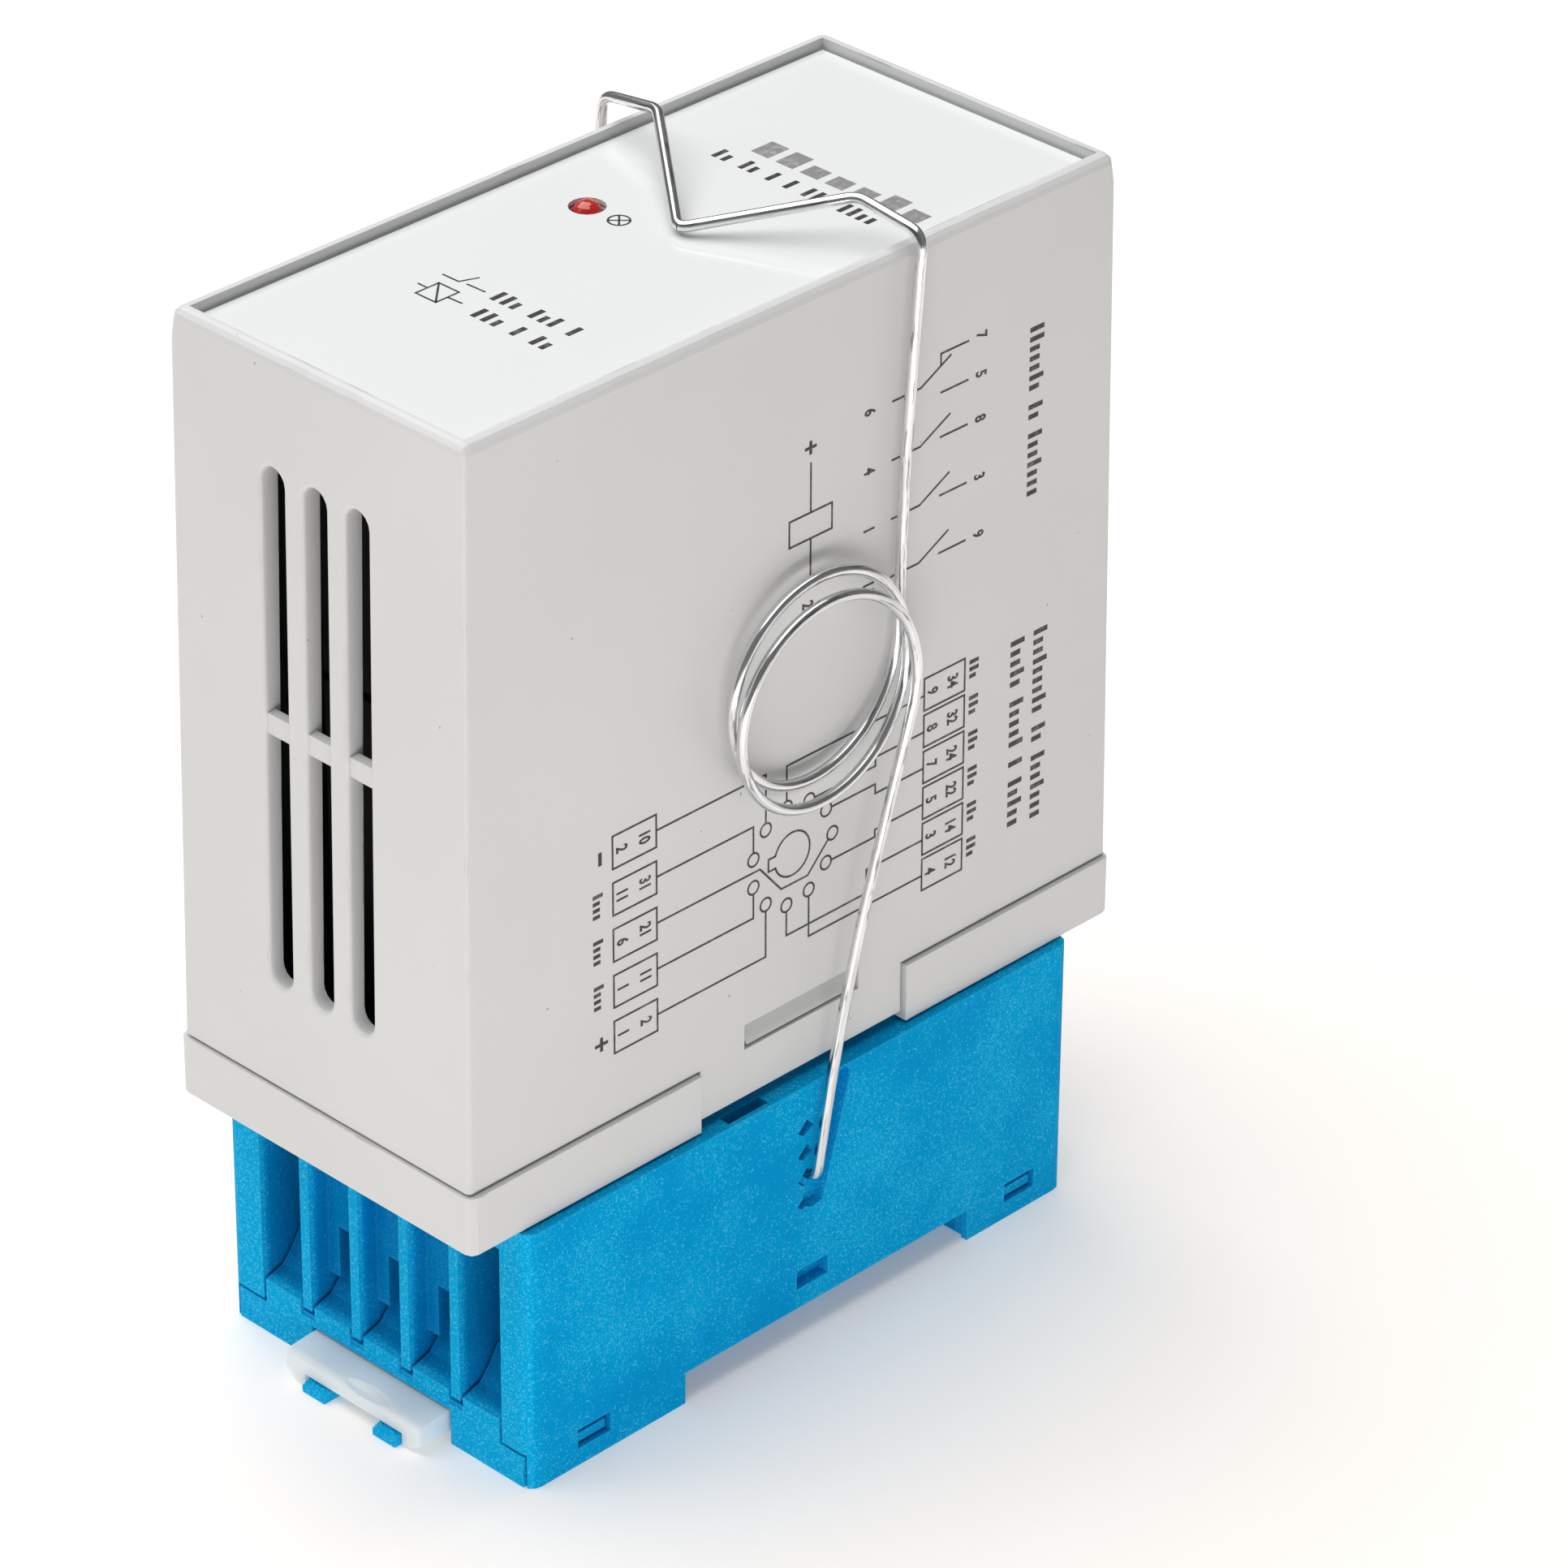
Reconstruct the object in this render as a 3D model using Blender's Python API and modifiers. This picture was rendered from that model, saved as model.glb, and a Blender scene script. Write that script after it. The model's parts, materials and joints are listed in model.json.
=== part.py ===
"""Plug-in relay module with its rail-mount socket and wire retaining clip.

The relay module (grey) plugs down into the socket (blue). Millimetres are used
for every dimension below and turned into metres as each shape is made.
+Z is up, X runs along the wide faces, and z = 0 is the underside of the socket.
"""

import math

import bmesh
import bpy
from mathutils import Matrix, Vector

MM = 0.001
GAP = 0.3
OVER = 1.0

# Relay cover: a drafted box, open below, with a raised rim round its top.
COVER_LOW = (78.0, 35.5)
COVER_HIGH = (75.64, 34.72)
COVER_Z = (32.4, 101.76)
COVER_WALL = 1.5
COVER_END_WALL = 2.05
TONGUE_X = (-12.0, 12.6)
TONGUE_Z = 27.4
RIM_WALL = 1.2
LABEL_Z = (100.4, 100.8)
LATCH_X = (-6.7, 7.3)
LATCH_Z = (32.1, 34.6)
SLOT_Y = (5.28, 0.22, -4.78)
SLOT_WIDTH = 2.8
SLOT_Z = (42.35, 91.5)
SLOT_BAR_Z = (66.3, 68.2)
SLOT_BAR_DEPTH = 0.36
SLOT_FILLET = 0.45
COVER_TOP_RADIUS = 0.9
COVER_EDGE_RADIUS = 0.45
LED_XY = (0.3, 8.1)
LED_RADIUS = 1.35
LED_DOME_Z = 100.0
LED_FOOT_Z = (94.8, 95.6)
LED_LEG_SPREAD = 0.6
LED_LEG_END = (10.5, 90.0)

# Relay base: a flanged plate that closes the cover and carries the pins.
FLANGE = (78.46, 36.4)
FLANGE_Z = (26.47, 32.1)
FLANGE_WALL = 1.6
FLANGE_CORNER = 0.8
BASE_FLOOR_Z = (28.3, 30.3)
COLLAR_HALF = (37.1, 15.9)
COLLAR_WALL = 1.2
COLLAR_TOP_Z = 35.6
LATCH_NOSE = ((15.0, 32.35), (17.55, 32.35), (16.2, 34.35), (15.0, 34.35))
PIN_BLOCK_X = 14.0
BOARD_HALF = (33.0, 13.9)
BOARD_Z = (33.0, 34.6)
BOSS_XY = (29.0, 11.5)
BOSS_RADIUS = 1.8

# Eleven-pin plug and its keyed spigot.
PIN_COUNT = 11
PIN_CIRCLE_RADIUS = 9.5
PIN_RADIUS = 1.18
PIN_TIP_Z = 16.8
PIN_COLLAR = (1.8, 30.6, 31.2)
PIN_TAIL = (0.5, 35.3)
SPIGOT_RADIUS = 5.2
SPIGOT_TIP_Z = 13.4
KEY_SIZE = (1.6, 1.3)

# Power relays inside the module: u is up, v stands off the board, w is across.
RELAY_X = -22.0
RELAY_CENTRES_Z = {"lower": 51.4, "upper": 81.2}
RELAY_LENGTH = 29.0
RELAY_HEIGHT = 25.4
RELAY_WIDTH = 12.7
RELAY_WALL = 0.8
RELAY_FLOOR_V = (0.4, 2.0)
CONTACT_W = (-3.0, 3.0)
CONTACT_HALF_W = 1.1
FIXED_CONTACT_V = (9.4, 10.3)
MOVING_CONTACT_V = (11.5, 12.3)
CONTACT_U = (1.5, 10.2)
WINDING_RADIUS = 4.7
BOBBIN_RADIUS = 5.1
BOBBIN_V = (3.7, 18.0)
BOBBIN_FLANGE = 1.0
CORE_RADIUS = 1.7
YOKE_U = (-12.3, -11.1, -1.5)
YOKE_V = (2.4, 3.4, 18.8)
YOKE_HALF_W = 4.2
ARMATURE_U = (-12.3, 1.6)
ARMATURE_V = (19.25, 20.25)
CARD_U = (0.8, 1.9)
CARD_V = (6.0, 18.95)
CARD_HALF_W = 4.4
UPRIGHT_BOARD_Y = (10.8, 12.4)
UPRIGHT_BOARD_TOP_Z = 96.5
COIL_U = -4.6
HINGE_U = -11.7
HINGE_V = 19.15

# Socket.
SOCKET_X = (-33.6, 33.2)
SOCKET_Y = 19.08
SOCKET_TOP_Z = 26.17
SOCKET_CORNER = 1.2
DECK_Z = 22.9
BELLY_HALF_X = 12.0
BELLY_HALF_Y = 17.0
BELLY_SIDE_Y = 14.9
PARTITION_DEPTH = 13.6
MOUTH_DEPTH = 2.2
MOUTH_Z = (0.5, 23.4)
DOOR_TOP_Z = 13.7
DOOR_JAMB = 1.4
INNER_WALL_DEPTH = 3.4
PRY_SLOT = ((-9.4, -4.6), (17.4, 18.6), 23.2)
RAIL_X = (-15.1, 20.5)
RAIL_Z = 3.2
SKIRT_Y = 18.4
FOOT_Y = 18.1
FOOT_TOP_Z = 3.15
PLATE_HALF_Y = 14.4
CATCH_Y = 18.7
RAIL_HOOK = (1.1, 9.0, 0.9, 2.0)
PLATE_SEAT_Z = (3.45, 5.1)
PLATE_TOP_Z = 4.5
WINDOW_SIZE = (3.9, 1.95)
WINDOW_DEPTH = 1.3
WINDOWS = ((-26.1, 2.72), (0.6, 6.2), (27.3, 2.72))

# Terminals: the end's face, its inward direction, and its row of wire bays, some with no inner wall.
ENDS = {
    "a": {"face": SOCKET_X[0], "inward": 1, "count": 5, "pitch": 6.3, "bay": 5.2, "shift": -0.3},
    "b": {"face": SOCKET_X[1], "inward": -1, "count": 6, "pitch": 5.1, "bay": 4.2, "shift": 0.0},
}
OPEN_BAYS = {"a": (0, 4), "b": ()}
WIRE_RAMP = ((0.0, 3.0), (0.0, 5.65), (2.0, 6.3), (3.1, 7.6), (4.2, 9.4), (5.0, 9.4), (6.6, 4.0))
SCREW_DEPTH = 8.1
SCREW_HEAD_RADIUS = 1.8
SCREW_RADIUS = 1.25
SCREW_TOP_Z = 21.3
SCREW_TIP_Z = 10.0
SCREW_SLOT = (0.6, 0.9)
STRIP_Z = (18.3, 19.1)
STRIP_DEPTH = (5.1, 13.1)
RECEPTACLE_RADIUS = 1.85
RECEPTACLE_BORE = 1.45
ELBOW_RADIUS = 13.8
LEAD_WIDTH = 1.1

# Rail clip under the socket.
CLIP_Y = -0.2
CLIP_X = (-36.9, -24.0)
CLIP_HALF_Y = 8.5
CLIP_FOOT_Y = 6.2
CLIP_Z = (0.3, 1.4, 3.25)
CLIP_FRONT = ((-36.9, 2.7), (-36.75, 2.92), (-36.35, 3.02), (-33.4, 3.25))
CLIP_CHAMFER = (1.2, 0.8)
CLIP_DIMPLE = (-36.35, -1.6, 3.8)
CLIP_DIMPLE_REACH = (1.0, 3.6, 1.35)
TONGUE_HALF_Y = 5.2
TONGUE_TIP_X = -13.6
GUIDE_X = -37.5
GUIDE_Y = (3.1, 5.9)

# Wire retaining clip, the same on both wide faces and joined over the top.
WIRE_RADIUS = 0.5
HOOK = (0.15, 16.75)
HOOK_Y = (17.4, 19.85)
COIL_CENTRE = (0.30, 67.62)
COIL_RADIUS = 10.2
COIL_PITCH = 1.15
COIL_DROP = 1.83
COIL_TURNS = 2.0 + 15.8 / 360.0
LEG_Y = 18.75
LEG_BOW = (3.1, 20.4, 36.0)
LEG_BOW_RADIUS = 210.0
COIL_TOP_Z = 70.0
BAIL_TIP = (1.7, -1.2, 101.55)
NOTCH_TOP_Z = (22.66, 20.1, 17.54, 14.98)
OPEN_NOTCH = 2


# ---------------------------------------------------------------- scene set-up


def clear_scene():
    for obj in list(bpy.data.objects):
        bpy.data.objects.remove(obj, do_unlink=True)


def new_collection(name, parent, helper=False):
    collection = bpy.data.collections.new(name)
    collection.hide_render = helper
    parent.children.link(collection)
    return collection


def principled(name, colour, roughness, metallic=0.0, transmission=0.0):
    material = bpy.data.materials.new(name)
    material.use_nodes = True
    shader = material.node_tree.nodes["Principled BSDF"]
    shader.inputs["Base Color"].default_value = (*colour, 1.0)
    shader.inputs["Roughness"].default_value = roughness
    shader.inputs["Metallic"].default_value = metallic
    shader.inputs["Transmission Weight"].default_value = transmission
    material.diffuse_color = (*colour, 1.0)
    return material


# ---------------------------------------------------------------- shape makers


def link(name, data, smooth=True):
    """An object in the parts collection; helpers are moved out by carve and join."""
    obj = bpy.data.objects.new(name, data)
    PARTS.objects.link(obj)
    if smooth and isinstance(data, bpy.types.Mesh):
        data.shade_smooth()
        data.set_sharp_from_angle(angle=math.radians(35.0))
    return obj


def from_bmesh(name, bm, smooth=True):
    mesh = bpy.data.meshes.new(name)
    bm.to_mesh(mesh)
    bm.free()
    return link(name, mesh, smooth)


def box(name, low, high, round_axis=None, radius=0.0, segments=2):
    """A box between two corners, with the edges along round_axis rounded if it is given."""
    bm = bmesh.new()
    bmesh.ops.create_cube(bm, size=1.0)
    size = [(high[i] - low[i]) * MM for i in range(3)]
    middle = [(high[i] + low[i]) / 2 * MM for i in range(3)]
    bmesh.ops.scale(bm, vec=size, verts=bm.verts)
    bmesh.ops.translate(bm, vec=middle, verts=bm.verts)
    if round_axis is not None:
        edges = [e for e in bm.edges if abs((e.verts[0].co - e.verts[1].co)[round_axis]) > 1e-7]
        bevel_edges(bm, edges, radius, segments)
    return from_bmesh(name, bm)


def bevel_edges(bm, edges, radius, segments):
    bmesh.ops.bevel(
        bm, geom=edges, offset=radius * MM, segments=segments, profile=0.5, affect="EDGES"
    )


def drafted_box(name, low_size, high_size, z_range, radius=0.0, segments=2, edge=0.0):
    """A box centred on Z whose sides lean in; radius rounds its top, and edge its lower uprights."""
    bm = bmesh.new()
    bmesh.ops.create_cube(bm, size=1.0)
    for vert in bm.verts:
        size, z = (high_size, z_range[1]) if vert.co.z > 0 else (low_size, z_range[0])
        vert.co = Vector((vert.co.x * size[0], vert.co.y * size[1], z)) * MM
    if radius:
        top = z_range[1] * MM - 1e-7
        edges = [e for e in bm.edges if max(v.co.z for v in e.verts) > top]
        bevel_edges(bm, edges, radius, segments)
        tighten_uprights(bm, low_size, high_size, z_range, radius, edge)
    return from_bmesh(name, bm)


def tighten_uprights(bm, low_size, high_size, z_range, radius, edge):
    """Scales each upright's rounding about its sharp corner, from a little below the top."""
    level = z_range[1] - 3 * radius
    parts = bm.verts[:] + bm.edges[:] + bm.faces[:]
    plane = Vector((0.0, 0.0, level * MM))
    bmesh.ops.bisect_plane(bm, geom=parts, dist=1e-8, plane_co=plane, plane_no=(0, 0, 1))
    for vert in bm.verts:
        z = vert.co.z / MM
        if z > level + 0.01:
            continue
        t = (z - z_range[0]) / (z_range[1] - z_range[0])
        corner = [(low + (high - low) * t) / 2 * MM for low, high in zip(low_size, high_size)]
        for axis in range(2):
            sharp = math.copysign(corner[axis], vert.co[axis])
            vert.co[axis] = sharp + (vert.co[axis] - sharp) * edge / radius


def cylinder(name, centre, radius, span, axis="Z", sides=16):
    """A cylinder whose centre gives the two coordinates across its axis, in X, Y, Z order."""
    bm = bmesh.new()
    bmesh.ops.create_cone(
        bm,
        cap_ends=True,
        segments=sides,
        radius1=radius * MM,
        radius2=radius * MM,
        depth=(span[1] - span[0]) * MM,
    )
    middle = (span[0] + span[1]) / 2
    if axis == "Y":
        turn = Matrix.Rotation(math.radians(90.0), 4, "X")
        place = Vector((centre[0], middle, centre[1]))
    else:
        turn = Matrix.Identity(4)
        place = Vector((centre[0], centre[1], middle))
    bmesh.ops.transform(bm, matrix=Matrix.Translation(place * MM) @ turn, verts=bm.verts)
    return from_bmesh(name, bm)


def ellipsoid(name, centre, reach):
    bm = bmesh.new()
    bmesh.ops.create_uvsphere(bm, u_segments=24, v_segments=16, radius=MM)
    bmesh.ops.scale(bm, vec=reach, verts=bm.verts)
    bmesh.ops.translate(bm, vec=Vector(centre) * MM, verts=bm.verts)
    return from_bmesh(name, bm)


def turned(name, profile, centre, sides=12):
    """A turned piece on a vertical axis; the profile is (radius, z) from the top down."""
    mesh = bpy.data.meshes.new(name)
    points = [(radius * MM, 0.0, z * MM) for radius, z in profile]
    mesh.from_pydata(points, [(i, i + 1) for i in range(len(points) - 1)], [])
    obj = link(name, mesh, smooth=False)
    obj.location = (centre[0] * MM, centre[1] * MM, 0.0)
    screw = obj.modifiers.new("Turn", "SCREW")
    screw.steps = sides
    screw.render_steps = sides
    screw.use_merge_vertices = True
    screw.merge_threshold = 0.00001
    screw.use_smooth_shade = False
    return obj


def mesh_from_curve(curve_object):
    """The curve's evaluated shape as a welded mesh object that takes its place."""
    graph = bpy.context.evaluated_depsgraph_get()
    mesh = bpy.data.meshes.new_from_object(curve_object.evaluated_get(graph))
    bm = bmesh.new()
    bm.from_mesh(mesh)
    bmesh.ops.remove_doubles(bm, verts=bm.verts, dist=1e-7)
    bmesh.ops.transform(bm, matrix=curve_object.matrix_world, verts=bm.verts)
    bmesh.ops.recalc_face_normals(bm, faces=bm.faces)
    name = curve_object.name
    curve = curve_object.data
    bpy.data.objects.remove(curve_object)
    bpy.data.curves.remove(curve)
    bpy.data.meshes.remove(mesh)
    return from_bmesh(name, bm)


def plate(name, outline, span, normal="Z"):
    """A flat outline given thickness along its normal; it is drawn in the other two axes."""
    curve = bpy.data.curves.new(name, "CURVE")
    curve.dimensions = "2D"
    curve.fill_mode = "BOTH"
    curve.extrude = (span[1] - span[0]) / 2 * MM
    spline = curve.splines.new("POLY")
    spline.points.add(len(outline) - 1)
    for point, (a, b) in zip(spline.points, outline):
        point.co = (a * MM, b * MM, 0.0, 1.0)
    spline.use_cyclic_u = True
    obj = link(name, curve)
    middle = (span[0] + span[1]) / 2 * MM
    axes = {
        "Z": ((1, 0, 0), (0, 1, 0), (0, 0, 1)),
        "Y": ((1, 0, 0), (0, 0, 1), (0, -1, 0)),
        "X": ((0, 1, 0), (0, 0, 1), (1, 0, 0)),
    }[normal]
    turn = Matrix(axes).transposed().to_4x4()
    offset = Vector([middle if axis == normal else 0.0 for axis in "XYZ"])
    obj.matrix_world = Matrix.Translation(offset) @ turn
    bpy.context.view_layer.update()
    return mesh_from_curve(obj)


def stadium(centre, width, span, steps):
    """An upright slot outline (a, b) with round ends."""
    radius = width / 2
    points = []
    for end, start in ((span[1] - radius, 0.0), (span[0] + radius, 180.0)):
        for step in range(steps + 1):
            angle = math.radians(start + 180.0 * step / steps)
            points.append((centre + radius * math.cos(angle), end + radius * math.sin(angle)))
    return points


def band(path, width):
    """The outline of a strip of the given width along a path of (x, y) points."""
    left, right = [], []
    for i, point in enumerate(path):
        before = Vector(path[max(i - 1, 0)])
        after = Vector(path[min(i + 1, len(path) - 1)])
        along = (after - before).normalized()
        side = Vector((-along.y, along.x)) * width / 2
        left.append(tuple(Vector(point) + side))
        right.append(tuple(Vector(point) - side))
    return left + right[::-1]


def wire(name, points):
    """A round wire along the points."""
    curve = bpy.data.curves.new(name, "CURVE")
    curve.dimensions = "3D"
    curve.bevel_depth = WIRE_RADIUS * MM
    curve.bevel_resolution = 2
    curve.use_fill_caps = True
    spline = curve.splines.new("POLY")
    spline.points.add(len(points) - 1)
    for target, point in zip(spline.points, points):
        target.co = (point[0] * MM, point[1] * MM, point[2] * MM, 1.0)
    return link(name, curve)


def rounded_path(corners, radii, steps=4):
    """A path through the corners with each inner one rounded by its own radius."""
    corners = [Vector(c) for c in corners]
    path = [corners[0]]
    for before, corner, after, radius in zip(corners, corners[1:], corners[2:], radii):
        inward = (before - corner).normalized()
        outward = (after - corner).normalized()
        half = inward.angle(outward) / 2
        reach = radius / math.tan(half)
        start = corner + inward * reach
        end = corner + outward * reach
        for step in range(steps + 1):
            t = step / steps
            path.append(start * (1 - t) ** 2 + corner * 2 * t * (1 - t) + end * t**2)
    path.append(corners[-1])
    return [tuple(p) for p in path]


def combine(obj, operation, helpers):
    """One Boolean on obj with every helper, which moves to the cutters collection."""
    group = new_collection(obj.name + "_" + operation.lower(), CUTTERS, helper=True)
    for helper in helpers:
        PARTS.objects.unlink(helper)
        group.objects.link(helper)
        helper.hide_render = True
        helper.display_type = "WIRE"
    modifier = obj.modifiers.new(operation.title(), "BOOLEAN")
    modifier.operation = operation
    modifier.operand_type = "COLLECTION"
    modifier.collection = group
    modifier.solver = "EXACT"
    return obj


def carve(obj, *cutters):
    return combine(obj, "DIFFERENCE", cutters)


def join(obj, *others):
    return combine(obj, "UNION", others)


def finish(obj, material):
    obj.data.materials.clear()
    obj.data.materials.append(material)
    return obj


def joint_empty(name, place, *pieces):
    """An empty on a joint's axis that carries the moving pieces."""
    empty = bpy.data.objects.new(name, None)
    empty.location = Vector(place) * MM
    PARTS.objects.link(empty)
    for piece in pieces:
        piece.parent = empty
        piece.matrix_parent_inverse = Matrix.Translation(-empty.location)
    return empty


# ---------------------------------------------------------------- shared places


def draft(z):
    """The cover's outer length and width at height z."""
    t = (z - COVER_Z[0]) / (COVER_Z[1] - COVER_Z[0])
    return [low + (high - low) * t for low, high in zip(COVER_LOW, COVER_HIGH)]


def shrunk(size, wall, end_wall=None):
    """A length and width less their walls; the narrow ends may have a wall of their own."""
    return [size[0] - 2 * (end_wall or wall), size[1] - 2 * wall]


def pin_places():
    """Pin centres on their circle, anticlockwise from the key, which points to -Y."""
    step = math.tau / PIN_COUNT
    angles = [-math.pi / 2 + step * (k + 0.5) for k in range(PIN_COUNT)]
    return [(math.cos(a) * PIN_CIRCLE_RADIUS, math.sin(a) * PIN_CIRCLE_RADIUS) for a in angles]


def bays(end):
    """Centres across Y of an end's wire bays, from -Y to +Y."""
    first = end["shift"] - end["pitch"] * (end["count"] - 1) / 2
    return [first + end["pitch"] * i for i in range(end["count"])]


def inside(end, near, far):
    """The X range between two depths measured inward from an end's face."""
    return sorted((end["face"] + end["inward"] * near, end["face"] + end["inward"] * far))


def terminals():
    """(name, end, bay centre, pin centre) for every terminal, each with the nearest pin."""
    pins = sorted(pin_places(), key=lambda p: p[0])
    left = sorted(pins[: ENDS["a"]["count"]], key=lambda p: p[1])
    right = sorted(pins[ENDS["a"]["count"] :], key=lambda p: p[1])
    found = []
    for key, group in (("a", left), ("b", right)):
        for number, (y, pin) in enumerate(zip(bays(ENDS[key]), group), start=1):
            found.append((f"{key}{number}", ENDS[key], y, pin))
    return found


# ---------------------------------------------------------------- relay module


def make_cover(material):
    outer = drafted_box(
        "relay_cover",
        draft(TONGUE_Z),
        COVER_HIGH,
        (TONGUE_Z, COVER_Z[1]),
        COVER_TOP_RADIUS,
        3,
        COVER_EDGE_RADIUS,
    )
    ceiling = LABEL_Z[0] - GAP - COVER_WALL
    cavity = drafted_box(
        "cover_cavity",
        shrunk(draft(TONGUE_Z - OVER), COVER_WALL),
        shrunk(draft(ceiling), COVER_WALL, COVER_END_WALL),
        (TONGUE_Z - OVER, ceiling),
    )
    tray = drafted_box(
        "cover_tray",
        shrunk(draft(LABEL_Z[0] - GAP), RIM_WALL),
        shrunk(draft(COVER_Z[1] + OVER), RIM_WALL),
        (LABEL_Z[0] - GAP, COVER_Z[1] + OVER),
    )
    cutters = [cavity, tray, cylinder("cover_led_hole", LED_XY, LED_RADIUS + GAP, (97.0, 102.0))]
    for side, reach in (("left", -1), ("right", 1)):
        edge = TONGUE_X[0] if reach < 0 else TONGUE_X[1]
        x = sorted((edge, reach * 45.0))
        low, high = (x[0], -20.0, TONGUE_Z - OVER), (x[1], 20.0, COVER_Z[0])
        cutters.append(box(f"cover_skirt_{side}", low, high))
    cutters.append(
        box("cover_latch_windows", (LATCH_X[0], -20, LATCH_Z[0]), (LATCH_X[1], 20, LATCH_Z[1]))
    )
    bars = []
    face = draft(sum(SLOT_BAR_Z) / 2)[0] / 2
    for i, y in enumerate(SLOT_Y):
        for side in (-1, 1):
            cutters.append(flared_slot(f"cover_slot_{i}_{side}", y, side))
            x = sorted((side * (face - SLOT_BAR_DEPTH), side * (face - COVER_WALL + 0.2)))
            half = SLOT_WIDTH / 2 + 0.3
            low, high = (x[0], y - half, SLOT_BAR_Z[0]), (x[1], y + half, SLOT_BAR_Z[1])
            bars.append(box(f"cover_bar_{i}_{side}", low, high))
    carve(outer, *cutters)
    join(outer, *bars)
    return finish(outer, material)


def flared_slot(name, centre, side, steps=4):
    """A cutter through one narrow end, which widens to the end's face in a quarter round."""
    levels = [(2 * COVER_WALL, 0.0)]
    for step in range(steps):
        angle = math.radians(90.0 * step / steps)
        levels.append((SLOT_FILLET * (1 - math.sin(angle)), SLOT_FILLET * (1 - math.cos(angle))))
    levels.append((-0.04 * SLOT_FILLET, 1.2 * SLOT_FILLET))
    bm = bmesh.new()
    rings = []
    for depth, spread in levels:
        span = (SLOT_Z[0] - spread, SLOT_Z[1] + spread)
        outline = stadium(centre, SLOT_WIDTH + 2 * spread, span, 8)
        ring = [((draft(z)[0] / 2 - depth) * side, y, z) for y, z in outline]
        rings.append([bm.verts.new(Vector(point) * MM) for point in ring])
    bm.faces.new(rings[0])
    bm.faces.new(rings[-1][::-1])
    for ring, after in zip(rings, rings[1:]):
        for i in range(len(ring)):
            j = (i + 1) % len(ring)
            bm.faces.new((ring[j], ring[i], after[i], after[j]))
    bmesh.ops.recalc_face_normals(bm, faces=bm.faces)
    return from_bmesh(name, bm)


def make_label(material):
    size = shrunk(draft(LABEL_Z[1]), RIM_WALL + GAP)
    low = (-size[0] / 2, -size[1] / 2, LABEL_Z[0])
    high = (size[0] / 2, size[1] / 2, LABEL_Z[1])
    label = box("label_plate", low, high)
    carve(label, cylinder("label_led_hole", LED_XY, LED_RADIUS + GAP, (99.0, 102.0)))
    return finish(label, material)


def make_led(material):
    arc = [math.radians(a) for a in range(0, 91, 15)]
    profile = [(LED_RADIUS * math.sin(a), LED_DOME_Z + LED_RADIUS * math.cos(a)) for a in arc]
    foot, foot_top = LED_FOOT_Z
    brim = LED_RADIUS + 0.3
    profile += [(LED_RADIUS, foot_top), (brim, foot_top), (brim, foot), (0.0, foot)]
    led = turned("status_led", profile, LED_XY, 24)
    legs = []
    back, low = LED_LEG_END
    y = LED_XY[1]
    for side in (-1, 1):
        x = LED_XY[0] + side * LED_LEG_SPREAD
        legs.append(box("led_leg", (x - 0.2, y - 0.2, low), (x + 0.2, y + 0.2, foot + 0.4)))
        legs.append(box("led_foot", (x - 0.21, y - 0.19, low), (x + 0.21, back, low + 0.4)))
    join(led, *legs)
    return finish(led, material)


def make_base(material):
    half_x, half_y = FLANGE[0] / 2, FLANGE[1] / 2
    low, high = (-half_x, -half_y, FLANGE_Z[0]), (half_x, half_y, FLANGE_Z[1])
    base = box("relay_base", low, high, round_axis=2, radius=FLANGE_CORNER)
    collar_x, collar_y = COLLAR_HALF
    collar_low = (-collar_x, -collar_y, FLANGE_Z[1] - 1.5)
    collar_high = (collar_x, collar_y, COLLAR_TOP_Z)
    extras = [
        box("base_collar", collar_low, collar_high),
        cylinder("base_spigot", (0, 0), SPIGOT_RADIUS, (SPIGOT_TIP_Z, 29.0), sides=20),
        box(
            "base_key",
            (-KEY_SIZE[0] / 2, -SPIGOT_RADIUS - KEY_SIZE[1], SPIGOT_TIP_Z + 1.0),
            (KEY_SIZE[0] / 2, -SPIGOT_RADIUS + 1.0, 29.0),
        ),
    ]
    for side in (-1, 1):
        outline = [(side * y, z) for y, z in LATCH_NOSE]
        span = (LATCH_X[0] + 0.5, LATCH_X[1] - 0.5)
        extras.append(plate(f"base_nose_{side}", outline, span, "X"))
    join(base, *extras)
    room_x, room_y = collar_x - COLLAR_WALL, collar_y - COLLAR_WALL
    cutters = [
        box("base_top", (-room_x, -room_y, BASE_FLOOR_Z[1]), (room_x, room_y, COLLAR_TOP_Z + OVER)),
    ]
    for side in (-1, 1):
        reach = sorted((side * PIN_BLOCK_X, side * (half_x - FLANGE_WALL)))
        low = (reach[0], -half_y + FLANGE_WALL, FLANGE_Z[0] - OVER)
        high = (reach[1], half_y - FLANGE_WALL, BASE_FLOOR_Z[0])
        cutters.append(box(f"base_under_{side}", low, high))
        notch = sorted((side * (collar_y + 0.05), side * (half_y + OVER)))
        low = (TONGUE_X[0] - GAP, notch[0], FLANGE_Z[0] - OVER)
        high = (TONGUE_X[1] + GAP, notch[1], FLANGE_Z[1] + 0.05)
        cutters.append(box(f"base_tongue_{side}", low, high))
    for i, place in enumerate(pin_places()):
        hole = cylinder(f"base_pin_hole_{i}", place, PIN_RADIUS + GAP, (25.0, 31.5), sides=12)
        cutters.append(hole)
    carve(base, *cutters)
    bosses = [
        cylinder(
            "base_boss",
            (sx * BOSS_XY[0], sy * BOSS_XY[1]),
            BOSS_RADIUS,
            (BASE_FLOOR_Z[1] - OVER, BOARD_Z[0] - GAP),
            sides=10,
        )
        for sx in (-1, 1)
        for sy in (-1, 1)
    ]
    join(base, *bosses)
    return finish(base, material)


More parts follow.
